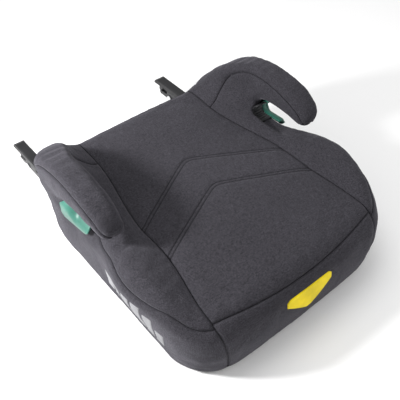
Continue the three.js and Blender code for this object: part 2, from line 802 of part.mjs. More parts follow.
function jawPin(side) {
  const x = side * ANCHOR_X;
  const head = (from) => barX(from, from + 1.4, JAW_PIVOT[0], JAW_PIVOT[1], 4.8);
  const shank = barX(x - 7.5, x + 7.5, JAW_PIVOT[0], JAW_PIVOT[1], 3);
  return joinAll(shank, head(x - ARM_HALF - 1.8), head(x + ARM_HALF + 0.4));
}

// A coil of round wire about an axis through the origin, along Z.
function coil(radius, wire, length, turns, stepsPerTurn) {
  const steps = turns * stepsPerTurn;
  const points = spread(0, 1, steps + 1).map((t) => {
    const angle = 2 * Math.PI * turns * t;
    return new THREE.Vector3(radius * Math.cos(angle), radius * Math.sin(angle), length * (t - 0.5));
  });
  const outline = circle(0, 0, wire / 2, 5).map((p) => new THREE.Vector2(...p));
  return new THREE.ExtrudeGeometry(new THREE.Shape(outline), {
    steps,
    extrudePath: new THREE.CatmullRomCurve3(points),
  });
}

function jawSpring(side) {
  const x = side * ANCHOR_X + 2.5;
  const wound = coil(4.2, 0.9, 1.7, 1.5, 10).rotateY(Math.PI / 2);
  return wound.translate(x, JAW_PIVOT[0], JAW_PIVOT[1]);
}

// Plastic cap over the fork's upper prong, with a rounded nose.
function latchCover(side) {
  const x = side * ANCHOR_X;
  const section = [
    [x - 8.3, 50.3],
    [x - 6.8, 50.3],
    [x - 6.8, ARM_TOP + FIT_GAP],
    [x + 6.8, ARM_TOP + FIT_GAP],
    [x + 6.8, 50.3],
    [x + 8.3, 50.3],
    [x + 8.3, 58.5],
    [x + 6.3, 60.5],
    [x - 6.3, 60.5],
    [x - 8.3, 58.5],
  ];
  const profile = [
    [222, 45],
    [304, 45],
    [304, 53],
    [300, 57.5],
    [292, 61],
    [227, 61],
    [222, 57],
  ];
  return prismY(section, 220, 306).intersect(prismX(profile, x - 20, x + 20));
}

function releaseButton(side) {
  const x = side * ANCHOR_X;
  const low = ARM_TOP + FIT_GAP;
  const profile = [[203, low], [217, low], [217, 60], [214, 61.6], [210, 60.6], [205, 59.5], [203, 58]];
  return prismX(profile, x - 4.5, x + 4.5);
}

// Cross member that makes the two latch arms slide as one.
function carriageBar() {
  const low = ARM_TOP + FIT_GAP;
  const section = [
    [62, low],
    [82, low],
    [82, 64.3],
    [79.5, 64.3],
    [79.5, 59],
    [64.5, 59],
    [64.5, 64.3],
    [62, 64.3],
  ];
  return prismX(section, -147, 147);
}

// Plain bar under the cross member. The brake shoe grips its lower face anywhere along the travel.
function brakeBar() {
  const [front, back] = [SHOE_SPAN[0] - 17, SHOE_SPAN[1] + LATCH_TRAVEL + 3];
  const chamfer = 1.5;
  const profile = [
    [front, BRAKE_FACE + chamfer],
    [front + chamfer, BRAKE_FACE],
    [back - chamfer, BRAKE_FACE],
    [back, BRAKE_FACE + chamfer],
    [back, ARM_TOP],
    [front, ARM_TOP],
  ];
  return prismX(profile, -8, 8);
}

// Bell crank: its long arm carries the shoe and its lever hangs into the pull rod's yoke.
function brakeLever() {
  const [y, z] = BRAKE_PIVOT;
  const [shoeFront, shoeBack] = SHOE_SPAN;
  const shoeTop = BRAKE_FACE - SHOE_GAP;
  const arm = [
    [y, z - 3.5],
    [shoeBack, z - 3],
    [shoeBack + 0.5, z + 2],
    [shoeBack, shoeTop],
    [shoeFront, shoeTop],
    [shoeFront - 1, z + 3.2],
    [y, z + 3.5],
  ];
  const lever = [[y - 3.5, z - 33], [y + 3.5, z - 33], [y + 4, z], [y - 4, z]];
  const hub = barX(-7, 7, y, z, 4.5, 14);
  const crank = joinAll(prismX(arm, -5, 5), hub, prismX(lever, -3, 3));
  return crank.subtract(barX(-8, 8, y, z, 2.8));
}

function brakeBracket() {
  const [y, z] = BRAKE_PIVOT;
  const cheek = [[y - 8, SHELL_RIM], [y + 8, SHELL_RIM], [y + 4, z + 3.8], [y - 4, z + 3.8]];
  const sides = joinAll(prismX(cheek, -11, -7.5), prismX(cheek, 7.5, 11));
  const foot = block(-18, 18, y - 9, y + 9, SHELL_RIM, SHELL_RIM + 1.8);
  return joinAll(sides, foot).subtract(barX(-12, 12, y, z, 2.8));
}

const brakePin = () => barX(-13, 13, BRAKE_PIVOT[0], BRAKE_PIVOT[1], 2.5);

const HANDLE = { front: -166, back: -136, half: 30, rim: 6, low: 3, top: 16 };

function adjusterHandle() {
  const { front, back, half, rim, low, top } = HANDLE;
  const corner = 5;
  const outline = [
    [-half + corner, front],
    [half - corner, front],
    [half, front + corner],
    [half, back],
    [-half, back],
    [-half, front + corner],
  ];
  const finger = block(-half + rim, half - rim, front + rim, back - rim, 0, 20);
  return prismZ(outline, low, top).subtract(finger);
}

// Pull rod with a collar for its spring and a yoke round the brake lever.
function adjusterRod() {
  const [y] = BRAKE_PIVOT;
  const rod = barY(0, HANDLE.back + FIT_GAP, y - 8, ROD_Z, 2.4);
  const collar = barY(0, -98, -95, ROD_Z, 5, 12);
  const yoke = block(-6, 6, y - 10, y + 8, ROD_Z - 2.5, ROD_Z + 2.5);
  return joinAll(rod, collar, yoke).subtract(block(-4, 4, y - 5, y + 5.2, 0, 30));
}

function rodSpring() {
  const room = [ROD_STOP[1] + 1.2, -98 - 1.2];
  const wound = coil(3.9, 1, room[1] - room[0], 6, 8).rotateX(Math.PI / 2);
  return wound.translate(0, (room[0] + room[1]) / 2, ROD_Z);
}

// Channel that carries one latch arm: two walls and a raised floor.
function guideRail(side) {
  const x = side * ANCHOR_X;
  const low = PLATE_TOP + FIT_GAP;
  const section = [
    [x - 9.7, low],
    [x - 7, low],
    [x - 7, 29],
    [x + 7, 29],
    [x + 7, low],
    [x + 9.7, low],
    [x + 9.7, 54],
    [x + 7, 54],
    [x + 7, ARM_LOW - 0.6],
    [x - 7, ARM_LOW - 0.6],
    [x - 7, 54],
    [x - 9.7, 54],
  ];
  return prismY(section, -62, 108);
}

// ---------------------------------------------------------------- finishes

const finish = (color, roughness, metalness = 0) => ({ color, roughness, metalness });

const FABRIC = finish(0x4b4950, 0.95);
const SHELL_PLASTIC = finish(0x1d1d20, 0.6);
const FOAM = finish(0xd9d9d4, 0.9);
const GUIDE_GREEN = finish(0x3fc79b, 0.4);
const LINER_BLACK = finish(0x17171a, 0.65);
const BADGE_YELLOW = finish(0xf2ea00, 0.5);
const RUBBER = finish(0x121214, 0.9);
const LATCH_STEEL = finish(0x6f7276, 0.38, 1);
const BRIGHT_STEEL = finish(0xb9bcc0, 0.28, 1);
const LATCH_BLACK = finish(0x151517, 0.5);

// ---------------------------------------------------------------- assembly

const group = new THREE.Group();

function addPiece(name, shape, look) {
  const geometry = shape.isBufferGeometry ? shape : toGeometry(shape);
  const mesh = new THREE.Mesh(geometry, new THREE.MeshStandardMaterial(look));
  mesh.name = name;
  group.add(mesh);
}

addPiece("seat_shell", seatShell(), SHELL_PLASTIC);
addPiece("base_plate", basePlate(), SHELL_PLASTIC);
addPiece("seat_foam", seatFoam(0), FOAM);
Object.entries(coverPanels()).forEach(([name, panel]) => addPiece(name, panel, FABRIC));
addPiece("front_badge", frontBadge(0), BADGE_YELLOW);
addPiece("carriage_bar", carriageBar(), LATCH_STEEL);
addPiece("brake_bar", brakeBar(), LATCH_STEEL);
addPiece("brake_lever", brakeLever(), LATCH_STEEL);
addPiece("brake_bracket", brakeBracket(), LATCH_STEEL);
addPiece("brake_pin", brakePin(), BRIGHT_STEEL);
addPiece("adjuster_handle", adjusterHandle(), GUIDE_GREEN);
addPiece("adjuster_rod", adjusterRod(), LATCH_STEEL);
addPiece("rod_spring", rodSpring(), BRIGHT_STEEL);
[["left", -1], ["right", 1]].forEach(([word, side]) => {
  addPiece(`belt_guide_${word}`, beltGuide(side, 0), GUIDE_GREEN);
  addPiece(`slot_liner_${word}`, slotLiner(side, 0), LINER_BLACK);
  addPiece(`guide_rail_${word}`, guideRail(side), SHELL_PLASTIC);
  addPiece(`latch_arm_${word}`, latchArm(side), LATCH_STEEL);
  addPiece(`latch_cover_${word}`, latchCover(side), LATCH_BLACK);
  addPiece(`latch_jaw_${word}`, latchJaw(side), LATCH_STEEL);
  addPiece(`jaw_pin_${word}`, jawPin(side), BRIGHT_STEEL);
  addPiece(`jaw_spring_${word}`, jawSpring(side), BRIGHT_STEEL);
  addPiece(`release_button_${word}`, releaseButton(side), LATCH_BLACK);
  ["front", "middle", "back"].forEach((place, i) => {
    const [x, y] = SCREW_PLACES[i];
    addPiece(`base_screw_${word}_${place}`, baseScrew(side * x, y), BRIGHT_STEEL);
  });
  ["front", "back"].forEach((place, i) => {
    const [x, y] = FOOT_PLACES[i];
    addPiece(`rubber_foot_${word}_${place}`, rubberFoot(side * x, y), RUBBER);
  });
});

export default group;
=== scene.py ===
"""Looks of the backless booster seat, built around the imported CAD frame."""

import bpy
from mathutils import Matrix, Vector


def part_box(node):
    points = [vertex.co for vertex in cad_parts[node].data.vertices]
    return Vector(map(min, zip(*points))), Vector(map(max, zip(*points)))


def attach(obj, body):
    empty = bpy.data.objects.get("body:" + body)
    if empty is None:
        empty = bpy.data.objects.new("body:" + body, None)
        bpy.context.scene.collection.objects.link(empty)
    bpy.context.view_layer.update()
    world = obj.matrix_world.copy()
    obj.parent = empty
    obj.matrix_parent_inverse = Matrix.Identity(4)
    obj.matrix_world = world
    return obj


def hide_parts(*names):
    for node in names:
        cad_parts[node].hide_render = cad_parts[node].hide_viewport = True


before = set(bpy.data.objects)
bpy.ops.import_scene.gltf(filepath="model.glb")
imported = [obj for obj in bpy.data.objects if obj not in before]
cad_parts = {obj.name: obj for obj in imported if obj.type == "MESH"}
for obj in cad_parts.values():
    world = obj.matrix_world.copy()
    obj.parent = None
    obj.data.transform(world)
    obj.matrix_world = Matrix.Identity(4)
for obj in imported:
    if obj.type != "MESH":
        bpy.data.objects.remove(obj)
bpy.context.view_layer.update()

import math

import bpy
import numpy as np
from mathutils import Matrix, Vector
from mathutils.kdtree import KDTree

MM = 0.001
SIDES = (("left", -1), ("right", 1))

# ------------------------------------------------------------------ form of the covered seat, mm

WALL_PAD = 9
SHELL_TOP = 88
ARM_SPLIT = 168
ANCHOR_X = 140
BACK_SEAM_Y = 167
BACK_SEAM_X = 118
ARMREST_LINE = [
    (122, 66, 44), (124, 112, 40), (104, 147, 33), (60, 166, 25),
    (16, 166, 20.5), (-8, 160, 17.5), (-22, 152, 14),
]
SLOT_LINE = [(50, 126, 12), (8, 131, 14), (-46, 134, 5)]
SLOT_FRONT = -46
SLOT_SPLIT = [(-40, 134), (8, 131), (58, 125)]
INNER_SEAM = [
    (110, 60), (112, 118), (118, 138), (112, 160), (90, 176), (55, 181), (15, 175), (-14, 163), (-30, 148),
]
OUTER_SEAM = [
    (140, -20), (140, 110), (128, 150), (105, 172), (60, 182), (15, 178), (-12, 169), (-30, 151),
]


def lerp(a, b, t):
    return a + (b - a) * t


def smooth_step(start, end, value):
    t = np.clip((value - start) / (end - start), 0, 1)
    return t * t * (3 - 2 * t)


def bell(value, middle, width):
    return np.exp(-(((value - middle) / width) ** 2))


def rounded_max(a, b, radius):
    u, v = np.maximum(a + radius, 0), np.maximum(b + radius, 0)
    return np.minimum(np.maximum(a, b), -radius) + np.hypot(u, v)


def blended_min(a, b, size):
    h = np.maximum(size - np.abs(a - b), 0) / size
    return np.minimum(a, b) - h * h * h * size / 6


def smooth_line(points, steps):
    """Catmull-Rom curve through the points."""
    p = [np.array(q, float) for q in points]
    p = [2 * p[0] - p[1]] + p + [2 * p[-1] - p[-2]]
    line = []
    for a, b, c, d in zip(p, p[1:], p[2:], p[3:]):
        for t in np.arange(steps) / steps:
            cubic = (3 * b - 3 * c + d - a) * t**3
            line.append(0.5 * (2 * b + (c - a) * t + (2 * a - 5 * b + 4 * c - d) * t**2 + cubic))
    return line + [p[-2]]


def chain_distance(y, z, line):
    nearest = np.inf
    for (y0, z0, r0), (y1, z1, r1) in zip(line, line[1:]):
        dy, dz = y1 - y0, z1 - z0
        t = np.clip(((y - y0) * dy + (z - z0) * dz) / (dy * dy + dz * dz), 0, 1)
        nearest = np.minimum(nearest, np.hypot(y - y0 - t * dy, z - z0 - t * dz) - lerp(r0, r1, t))
    return nearest


ARMREST_CHAIN = smooth_line(ARMREST_LINE, 4)


def seam_x(y):
    return 100 + 22 * smooth_step(120, -30, y) + 14 * smooth_step(-60, -170, y)


def side_seam_z(y):
    rise = 16 * smooth_step(-176, -130, y) + 7 * smooth_step(-130, -40, y)
    return 95 + rise - 10 * smooth_step(-40, 0, y)


def front_seam_y(x):
    return 188 - 15 * (x / 136) ** 2


def front_panel_x(z):
    return 121 + 15 * z / 94


def seat_height(across, y):
    middle = lerp(123, 116, smooth_step(170, 20, y)) - 14 * smooth_step(-50, -200, y)
    inner = seam_x(y) - 8
    bolster = 14 * smooth_step(inner, inner + 50, across) * smooth_step(-200, -110, y)
    return middle + bolster - 24 * bell(y, 32, 42) * smooth_step(140, 182, across)


def plan_field(x, y, z):
    across = np.abs(x)
    bulge = 18 * bell(y, -74, 58) * smooth_step(5, 110, z)
    side = across - (169 + 5 * smooth_step(0, 95, z) + bulge - 0.0012 * np.maximum(y - 60, 0) ** 2)
    front = -y - (191 + 9 * bell(z, 52, 42) - 4 * (across / 140) ** 2)
    return rounded_max(rounded_max(side, front, 60), y - (175 - 0.0002 * across**2), 38)


def base_field(x, y, z):
    edge = lerp(26, 15, smooth_step(60, 150, y))
    topped = rounded_max(plan_field(x, y, z), z - seat_height(np.abs(x), y), edge)
    return rounded_max(topped, 2 - z, 7)


def armrest_field(x, y, z):
    across = np.abs(x)
    outer = lerp(167, 190, smooth_step(70, 172, z)) - 4 * smooth_step(10, -50, y)
    inner = 146 - 16 * smooth_step(70, 150, y) + 3 * smooth_step(10, -50, y)
    profile = rounded_max(chain_distance(y, z, ARMREST_CHAIN), inner - across, 15)
    cornered = rounded_max(profile, rounded_max(across - outer, y - 160, 52), 15)
    return rounded_max(cornered, rounded_max(across - outer, -y - 36, 15), 8)


def slot_field(x, y, z):
    opening = rounded_max(chain_distance(y, z, SLOT_LINE), SLOT_FRONT - y, 6)
    return rounded_max(opening, 136 - np.abs(x), 10)


def seat_field(x, y, z):
    joined = blended_min(base_field(x, y, z), armrest_field(x, y, z), lerp(12, 56, smooth_step(25, 95, y)))
    return rounded_max(joined, -slot_field(x, y, z), 4)


def field_normals(points, field=seat_field, reach=0.4):
    gradient = np.empty_like(points)
    for axis in range(3):
        shift = np.zeros(3)
        shift[axis] = reach
        gradient[:, axis] = field(*(points + shift).T) - field(*(points - shift).T)
    return gradient / (2 * reach)


def settle(points, rounds=2, field=seat_field):
    """Moves the points onto the surface where the field is zero."""
    for _ in range(rounds):
        gradient = field_normals(points, field)
        steep = np.maximum((gradient**2).sum(1), 0.25)
        points = points - gradient * (field(*points.T) / steep)[:, None]
    return points


# ------------------------------------------------------------------ meshes


def wrap_field(field, low, high, step):
    """Closed quad mesh around the region where the field is negative."""
    axes = [np.arange(a, b + step, step) for a, b in zip(low, high)]
    values = field(*np.meshgrid(*axes, indexing="ij", sparse=True))
    cells = tuple(n - 1 for n in values.shape)
    total, count = np.zeros(cells + (3,)), np.zeros(cells)
    crossings = []
    for axis in range(3):
        u, v = (axis + 1) % 3, (axis + 2) % 3
        a = np.take(values, range(cells[axis]), axis)
        b = np.take(values, range(1, values.shape[axis]), axis)
        crossed = (a < 0) != (b < 0)
        crossings.append((crossed, a < 0))
        share = np.where(crossed, a / np.where(crossed, a - b, 1), 0)
        place = np.zeros(crossed.shape + (3,))
        for k in range(3):
            grid = np.moveaxis(axes[k][: crossed.shape[k]].reshape(-1, 1, 1), 0, k)
            place[..., k] = (grid + (share * step if k == axis else 0)) * crossed
        for du in (0, 1):
            for dv in (0, 1):
                window = [slice(None)] * 3
                window[u] = slice(du, du + cells[u])
                window[v] = slice(dv, dv + cells[v])
                total += place[tuple(window)]
                count += crossed[tuple(window)]
    active = count > 0
    index = np.full(cells, -1)
    index[active] = np.arange(active.sum())
    quads = []
    for axis, (crossed, inside) in enumerate(crossings):
        u, v = (axis + 1) % 3, (axis + 2) % 3
        at = np.argwhere(crossed)
        at = at[(at[:, u] > 0) & (at[:, v] > 0) & (at[:, u] < cells[u]) & (at[:, v] < cells[v])]
        ring = []
        for du, dv in ((-1, -1), (0, -1), (0, 0), (-1, 0)):
            cell = at.copy()
            cell[:, u] += du
            cell[:, v] += dv
            ring.append(index[tuple(cell.T)])
        ring = np.stack(ring, 1)
        outward = inside[tuple(at.T)]
        ring[~outward] = ring[~outward][:, ::-1]
        quads.append(ring)
    return total[active] / count[active][:, None], np.concatenate(quads)


def triangulate(points, quads):
    """Splits each quad along its shorter diagonal."""
    a, b, c, d = (points[quads[:, i]] for i in range(4))
    first = ((a - c) ** 2).sum(1) <= ((b - d) ** 2).sum(1)
    order = np.where(first[:, None, None], [[0, 1, 2], [0, 2, 3]], [[0, 1, 3], [1, 2, 3]])
    return np.take_along_axis(quads[:, None, :].repeat(2, 1), order, 2).reshape(-1, 3)


def unique_edges(triangles):
    """Each edge once, the first place it stands in the list of all sides, and each side's edge number."""
    sides = np.sort(triangles[:, [0, 1, 1, 2, 2, 0]].reshape(-1, 2), 1).astype(np.int64)
    span = int(sides.max()) + 1
    key, first, number, count = np.unique(
        sides[:, 0] * span + sides[:, 1], return_index=True, return_inverse=True, return_counts=True
    )
    return np.stack([key // span, key % span], 1), first, number.ravel(), count


def split(points, triangles, labels, value):
    """Cuts every triangle along the line where value, a function of the points, is zero."""
    values = value(points)
    edges = unique_edges(triangles)[0]
    va, vb = values[edges[:, 0]], values[edges[:, 1]]
    crossed = va * vb < 0
    edges, va, vb = edges[crossed], va[crossed], vb[crossed]
    t = va / (va - vb)
    cut = lerp(points[edges[:, 0]], points[edges[:, 1]], t[:, None])
    near_a, near_b = t < 0.22, t > 0.78
    points = points.copy()
    for near, end in ((near_a, 0), (near_b, 1)):
        points[edges[near, end]] = cut[near]
        values[edges[near, end]] = 0
    still = (values[edges[:, 0]] * values[edges[:, 1]]) < 0
    edges, cut = edges[still], cut[still]
    key = edges[:, 0] * (len(points) + 1) + edges[:, 1]
    order = np.argsort(key)
    key = key[order]
    first_new = len(points)
    points = np.vstack([points, cut[order]])
    sign = np.sign(values)

    def new_point(a, b):
        low, high = np.minimum(a, b), np.maximum(a, b)
        return first_new + np.searchsorted(key, low * (first_new + 1) + high)

    s = sign[triangles]
    mixed = (s.max(1) > 0) & (s.min(1) < 0)
    kept, kept_labels = triangles[~mixed], labels[~mixed]
    tri, lab, s = triangles[mixed], labels[mixed], s[mixed]
    out, out_labels = [kept], [kept_labels]
    zero = (s == 0).any(1)
    if zero.any():
        turn = np.argmax(s[zero] == 0, 1)
        z = np.stack([tri[zero][np.arange(len(turn)), (turn + k) % 3] for k in range(3)], 1)
        m = new_point(z[:, 1], z[:, 2])
        out += [np.stack([z[:, 0], z[:, 1], m], 1), np.stack([z[:, 0], m, z[:, 2]], 1)]
        out_labels += [lab[zero]] * 2
    rest = ~zero
    if rest.any():
        lone = np.where((s[rest] > 0).sum(1) == 1, 1, -1)
        turn = np.argmax(s[rest] == lone[:, None], 1)
        z = np.stack([tri[rest][np.arange(len(turn)), (turn + k) % 3] for k in range(3)], 1)
        m1, m2 = new_point(z[:, 0], z[:, 1]), new_point(z[:, 0], z[:, 2])
        out += [np.stack(q, 1) for q in ((z[:, 0], m1, m2), (m1, z[:, 1], z[:, 2]), (m1, z[:, 2], m2))]
        out_labels += [lab[rest]] * 3
    return points, np.concatenate(out), np.concatenate(out_labels)


def relabel(points, triangles, labels, value, name, among):
    """Cuts along the region's edge, and renames the triangles inside it that carry the label among."""
    points, triangles, labels = split(points, triangles, labels, value)
    candidates = np.flatnonzero(labels == among)
    inside = value(points[triangles[candidates]].mean(1)) < 0
    labels[candidates[inside]] = name
    return points, triangles, labels


def border_edges(triangles):
    """Edges used by one triangle only, in the triangle's own direction."""
    _, first, _, count = unique_edges(triangles)
    return triangles[:, [0, 1, 1, 2, 2, 0]].reshape(-1, 2)[first[count == 1]]


def loops_of(edges):
    """Chains directed edges into closed loops of point numbers."""
    following = dict(edges.tolist())
    loops = []
    while following:
        start, at = following.popitem()
        loop = [start]
        while at != start and at in following:
            loop.append(at)
            at = following.pop(at)
        loops.append(loop)
    return sorted(loops, key=len, reverse=True)


def tree_of(points):
    tree = KDTree(len(points))
    for i, p in enumerate(points):
        tree.insert(p, i)
    tree.balance()
    return tree


def distance_to(tree, points, limit=60):
    found = np.empty(len(points))
    for i, p in enumerate(points):
        found[i] = tree.find(p)[2]
    return np.minimum(found, limit)


def make_object(name, points, faces, material, smooth=True, attributes=None):
    """A mesh object from points in millimetres."""
    blocks = [np.atleast_2d(block) for block in ([faces] if isinstance(faces, np.ndarray) else faces)]
    corners = np.concatenate([block.ravel() for block in blocks]).astype(np.int32)
    sizes = np.concatenate([np.full(len(block), block.shape[1]) for block in blocks])
    points = np.asarray(points, float) * MM
    mesh = bpy.data.meshes.new(name)
    mesh.vertices.add(len(points))
    mesh.vertices.foreach_set("co", points.ravel())
    mesh.loops.add(len(corners))
    mesh.loops.foreach_set("vertex_index", corners)
    mesh.polygons.add(len(sizes))
    mesh.polygons.foreach_set("loop_start", (np.cumsum(sizes) - sizes).astype(np.int32))
    mesh.update(calc_edges=True)
    mesh.validate()
    for key, value in (attributes or {}).items():
        kind = "FLOAT" if value.ndim == 1 else "FLOAT_VECTOR"
        layer = mesh.attributes.new(key, kind, "POINT")
        layer.data.foreach_set("value" if value.ndim == 1 else "vector", value.astype(np.float32).ravel())
    mesh.polygons.foreach_set("use_smooth", [smooth] * len(mesh.polygons))
    mesh.materials.append(material)
    piece = bpy.data.objects.new(name, mesh)
    bpy.context.scene.collection.objects.link(piece)
    return piece


def sheet_piece(name, outer, normals, triangles, thickness, material, attributes):
    """A closed piece: the outer face, an inner face set in by the thickness, and a rim around its edges."""
    used, compact = np.unique(triangles, return_inverse=True)
    compact = compact.reshape(triangles.shape)
    top = outer[used]
    bottom = top - normals[used] * thickness
    n = len(used)
    rim = border_edges(compact)
    a, b = rim.T
    faces = [compact, compact[:, ::-1] + n, np.stack([b, a, a + n, b + n], 1)]
    doubled = {key: np.concatenate([value[used]] * 2) for key, value in attributes.items()}
    return make_object(name, np.vstack([top, bottom]), faces, material, attributes=doubled)


def tube(name, line, radius, material, closed=True, sides=8):
    """A round cord of thread or binding along a line of points."""
    line = np.asarray(line, float)
    ahead, behind = np.roll(line, -1, 0), np.roll(line, 1, 0)
    if not closed:
        ahead[-1], behind[0] = line[-1], line[0]
    along = ahead - behind
    along /= np.linalg.norm(along, axis=1)[:, None]
    up = np.where(np.abs(along[:, 2:]) > 0.8, [[1.0, 0.0, 0.0]], [[0.0, 0.0, 1.0]])
    across = np.cross(along, up)
    across /= np.linalg.norm(across, axis=1)[:, None]
    up = np.cross(across, along)
    angles = np.arange(sides) * 2 * math.pi / sides
    ring = line[:, None] + radius * (
        across[:, None] * np.cos(angles)[None, :, None] + up[:, None] * np.sin(angles)[None, :, None]
    )
    count = len(line)
    faces = []
    for i in range(count if closed else count - 1):
        j = (i + 1) % count
        for k in range(sides):
            m = (k + 1) % sides
            faces.append((i * sides + k, i * sides + m, j * sides + m, j * sides + k))
    if not closed:
        faces.append(tuple(range(sides))[::-1])
        faces.append(tuple((count - 1) * sides + k for k in range(sides)))
    return make_object(name, ring.reshape(-1, 3), faces, material)


def resample(line, step, closed=True):
    line = np.asarray(line, float)
    if closed:
        line = np.vstack([line, line[:1]])
    lengths = np.concatenate([[0], np.cumsum(np.linalg.norm(np.diff(line, axis=0), axis=1))])
    count = max(int(lengths[-1] / step), 8)
    at = np.linspace(0, lengths[-1], count + (0 if closed else 1), endpoint=not closed)
    return np.stack([np.interp(at, lengths, line[:, k]) for k in range(3)], 1)


def smoothed(line, rounds):
    for _ in range(rounds):
        line = 0.5 * line + 0.25 * (np.roll(line, 1, 0) + np.roll(line, -1, 0))
    return line


def polygon_distance(u, v, corners):
    """Signed distance to a polygon, negative inside."""
    corners = [np.asarray(c, float)[:2] for c in corners]
    nearest = np.full(np.shape(u), 1e9)
    inside = np.zeros(np.shape(u), bool)
    for a, b in zip(corners, corners[1:] + corners[:1]):
        e = b - a
        t = np.clip(((u - a[0]) * e[0] + (v - a[1]) * e[1]) / max(e @ e, 1e-9), 0, 1)
        nearest = np.minimum(nearest, np.hypot(u - a[0] - t * e[0], v - a[1] - t * e[1]))
        if a[1] != b[1]:
            inside ^= ((a[1] > v) != (b[1] > v)) & (u < e[0] * (v - a[1]) / e[1] + a[0])
    return np.where(inside, -nearest, nearest)


# ------------------------------------------------------------------ materials


class Nodes:
    """Short hand for building a node material."""

    def __init__(self, name):
        self.material = bpy.data.materials.new(name)
        self.material.use_nodes = True
        self.tree = self.material.node_tree
        self.shader = self.tree.nodes["Principled BSDF"]

    def add(self, kind, **settings):
        node = self.tree.nodes.new("ShaderNode" + kind)
        for key, value in settings.items():
            if isinstance(key, str) and hasattr(node, key):
                setattr(node, key, value)
            else:
                node.inputs[key.replace("_", " ")].default_value = value
        return node

    def link(self, source, target):
        self.tree.links.new(source, target)

    def attribute(self, name):
        node = self.add("Attribute")
        node.attribute_name = name
        return node

    def math(self, operation, a, b=None):
        node = self.add("Math", operation=operation)
        for socket, value in zip(node.inputs, (a, b)):
            if value is None:
                continue
            if isinstance(value, (int, float)):
                socket.default_value = value
            else:
                self.link(value, socket)
        return node.outputs[0]

    def scaled(self, vector, scale):
        node = self.add("Mapping")
        node.inputs["Scale"].default_value = scale
        self.link(vector, node.inputs["Vector"])
        return node.outputs["Vector"]

    def noise(self, vector, scale, detail=2.0, roughness=0.5):
        node = self.add("TexNoise")
        node.inputs["Scale"].default_value = scale
        node.inputs["Detail"].default_value = detail
        node.inputs["Roughness"].default_value = roughness
        self.link(vector, node.inputs["Vector"])
        return node.outputs["Fac"]

    def ramp(self, fac, stops):
        node = self.add("ValToRGB")
        elements = node.color_ramp.elements
        while len(elements) < len(stops):
            elements.new(0.5)
        for element, (place, color) in zip(elements, stops):
            element.position = place
            element.color = (*color, 1)
        self.link(fac, node.inputs["Fac"])
        return node.outputs["Color"]

    def mix(self, fac, a, b, blend="MIX"):
        node = self.add("Mix", data_type="RGBA", blend_type=blend)
        for socket, value in ((node.inputs[0], fac), (node.inputs[6], a), (node.inputs[7], b)):
            if isinstance(value, bpy.types.NodeSocket):
                self.link(value, socket)
            else:
                socket.default_value = value if isinstance(value, (int, float)) else (*value, 1)
        return node.outputs[2]

    def bump(self, height, strength, distance, normal=None):
        node = self.add("Bump")
        node.inputs["Strength"].default_value = strength
        node.inputs["Distance"].default_value = distance
        self.link(height, node.inputs["Height"])
        if normal is not None:
            self.link(normal, node.inputs["Normal"])
        return node.outputs["Normal"]

    def set(self, **values):
        for key, value in values.items():
            self.shader.inputs[key.replace("_", " ")].default_value = value
        return self


def fabric_material(name, dark, light, seam_color):
    """Heathered plain weave: dark and light threads along every axis, darker in the seams."""
    n = Nodes(name)
    metres = n.add("TexCoord").outputs["Object"]
    place = n.scaled(metres, (1000, 1000, 1000))
    parts = n.add("SeparateXYZ")
    n.link(place, parts.inputs[0])
    waves = [n.math("SINE", n.math("MULTIPLY", parts.outputs[k], 2 * math.pi / 1.15)) for k in range(3)]
    cross = n.math("ADD", n.math("ADD", waves[0], waves[1]), waves[2])
    stretches = [[0.2 if k == axis else 1.3 for k in range(3)] for axis in range(3)]
    runs = [n.noise(n.scaled(place, stretch), 1.0, 2.0) for stretch in stretches]
    threads = n.math("MULTIPLY", n.math("ADD", n.math("ADD", runs[0], runs[1]), runs[2]), 1 / 3)
    speck = n.noise(place, 1.1, 1.0)
    heather = n.math("ADD", n.math("MULTIPLY", threads, 0.7), n.math("MULTIPLY", speck, 0.3))
    middle = tuple(lerp(a, b, 0.45) for a, b in zip(dark, light))
    color = n.ramp(heather, [(0.4, dark), (0.5, middle), (0.6, light)])
    cloud = n.ramp(n.noise(metres, 9.0, 3.0), [(0.3, (0.9, 0.9, 0.9)), (0.7, (1.06, 1.06, 1.06))])
    color = n.mix(1.0, color, cloud, "MULTIPLY")
    seam = n.attribute("seam").outputs["Fac"]
    n.link(n.mix(seam, color, seam_color), n.shader.inputs["Base Color"])
    height = n.math("ADD", n.math("MULTIPLY", cross, 0.2), n.math("MULTIPLY", heather, 1.6))
    n.link(n.bump(height, 0.55, 0.00035), n.shader.inputs["Normal"])
    n.set(Roughness=0.93, Sheen_Weight=0.14, Sheen_Roughness=0.45, Specular_IOR_Level=0.15)
    n.shader.inputs["Sheen Tint"].default_value = (0.72, 0.7, 0.8, 1)
    return n.material


def plastic_material(name, color, roughness, grain=0.00006, scale=2200.0, specular=0.5, edge_wear_and_highlight_amount=0.25):
    """Moulded plastic: fine texture, slight colour variation and rubbed edges."""
    n = Nodes(name)
    place = n.add("TexCoord").outputs["Object"]
    fine = n.noise(place, scale, 2.0)
    cloud = n.noise(place, 35.0, 3.0)
    light = tuple(min(c * 1.25 + 0.004, 1) for c in color)
    tone = n.ramp(cloud, [(0.3, tuple(c * 0.88 for c in color)), (0.7, light)])
    edge = n.add("NewGeometry").outputs["Pointiness"]
    edge_wear_and_highlight_mask = n.ramp(edge, [(0.5, (0, 0, 0)), (0.6, (1, 1, 1))])
    scuff = n.math("MULTIPLY", n.math("MULTIPLY", edge_wear_and_highlight_mask, n.noise(place, 220.0, 3.0)), edge_wear_and_highlight_amount)
    worn = tuple(min(c * 1.6 + 0.02, 1) for c in color)
    n.link(n.mix(scuff, tone, worn), n.shader.inputs["Base Color"])
    rough = n.math("ADD", n.math("MULTIPLY", cloud, 0.16), roughness - 0.08)
    n.link(rough, n.shader.inputs["Roughness"])
    n.link(n.bump(fine, 0.5, grain), n.shader.inputs["Normal"])
    n.set(Specular_IOR_Level=specular)
    return n.material


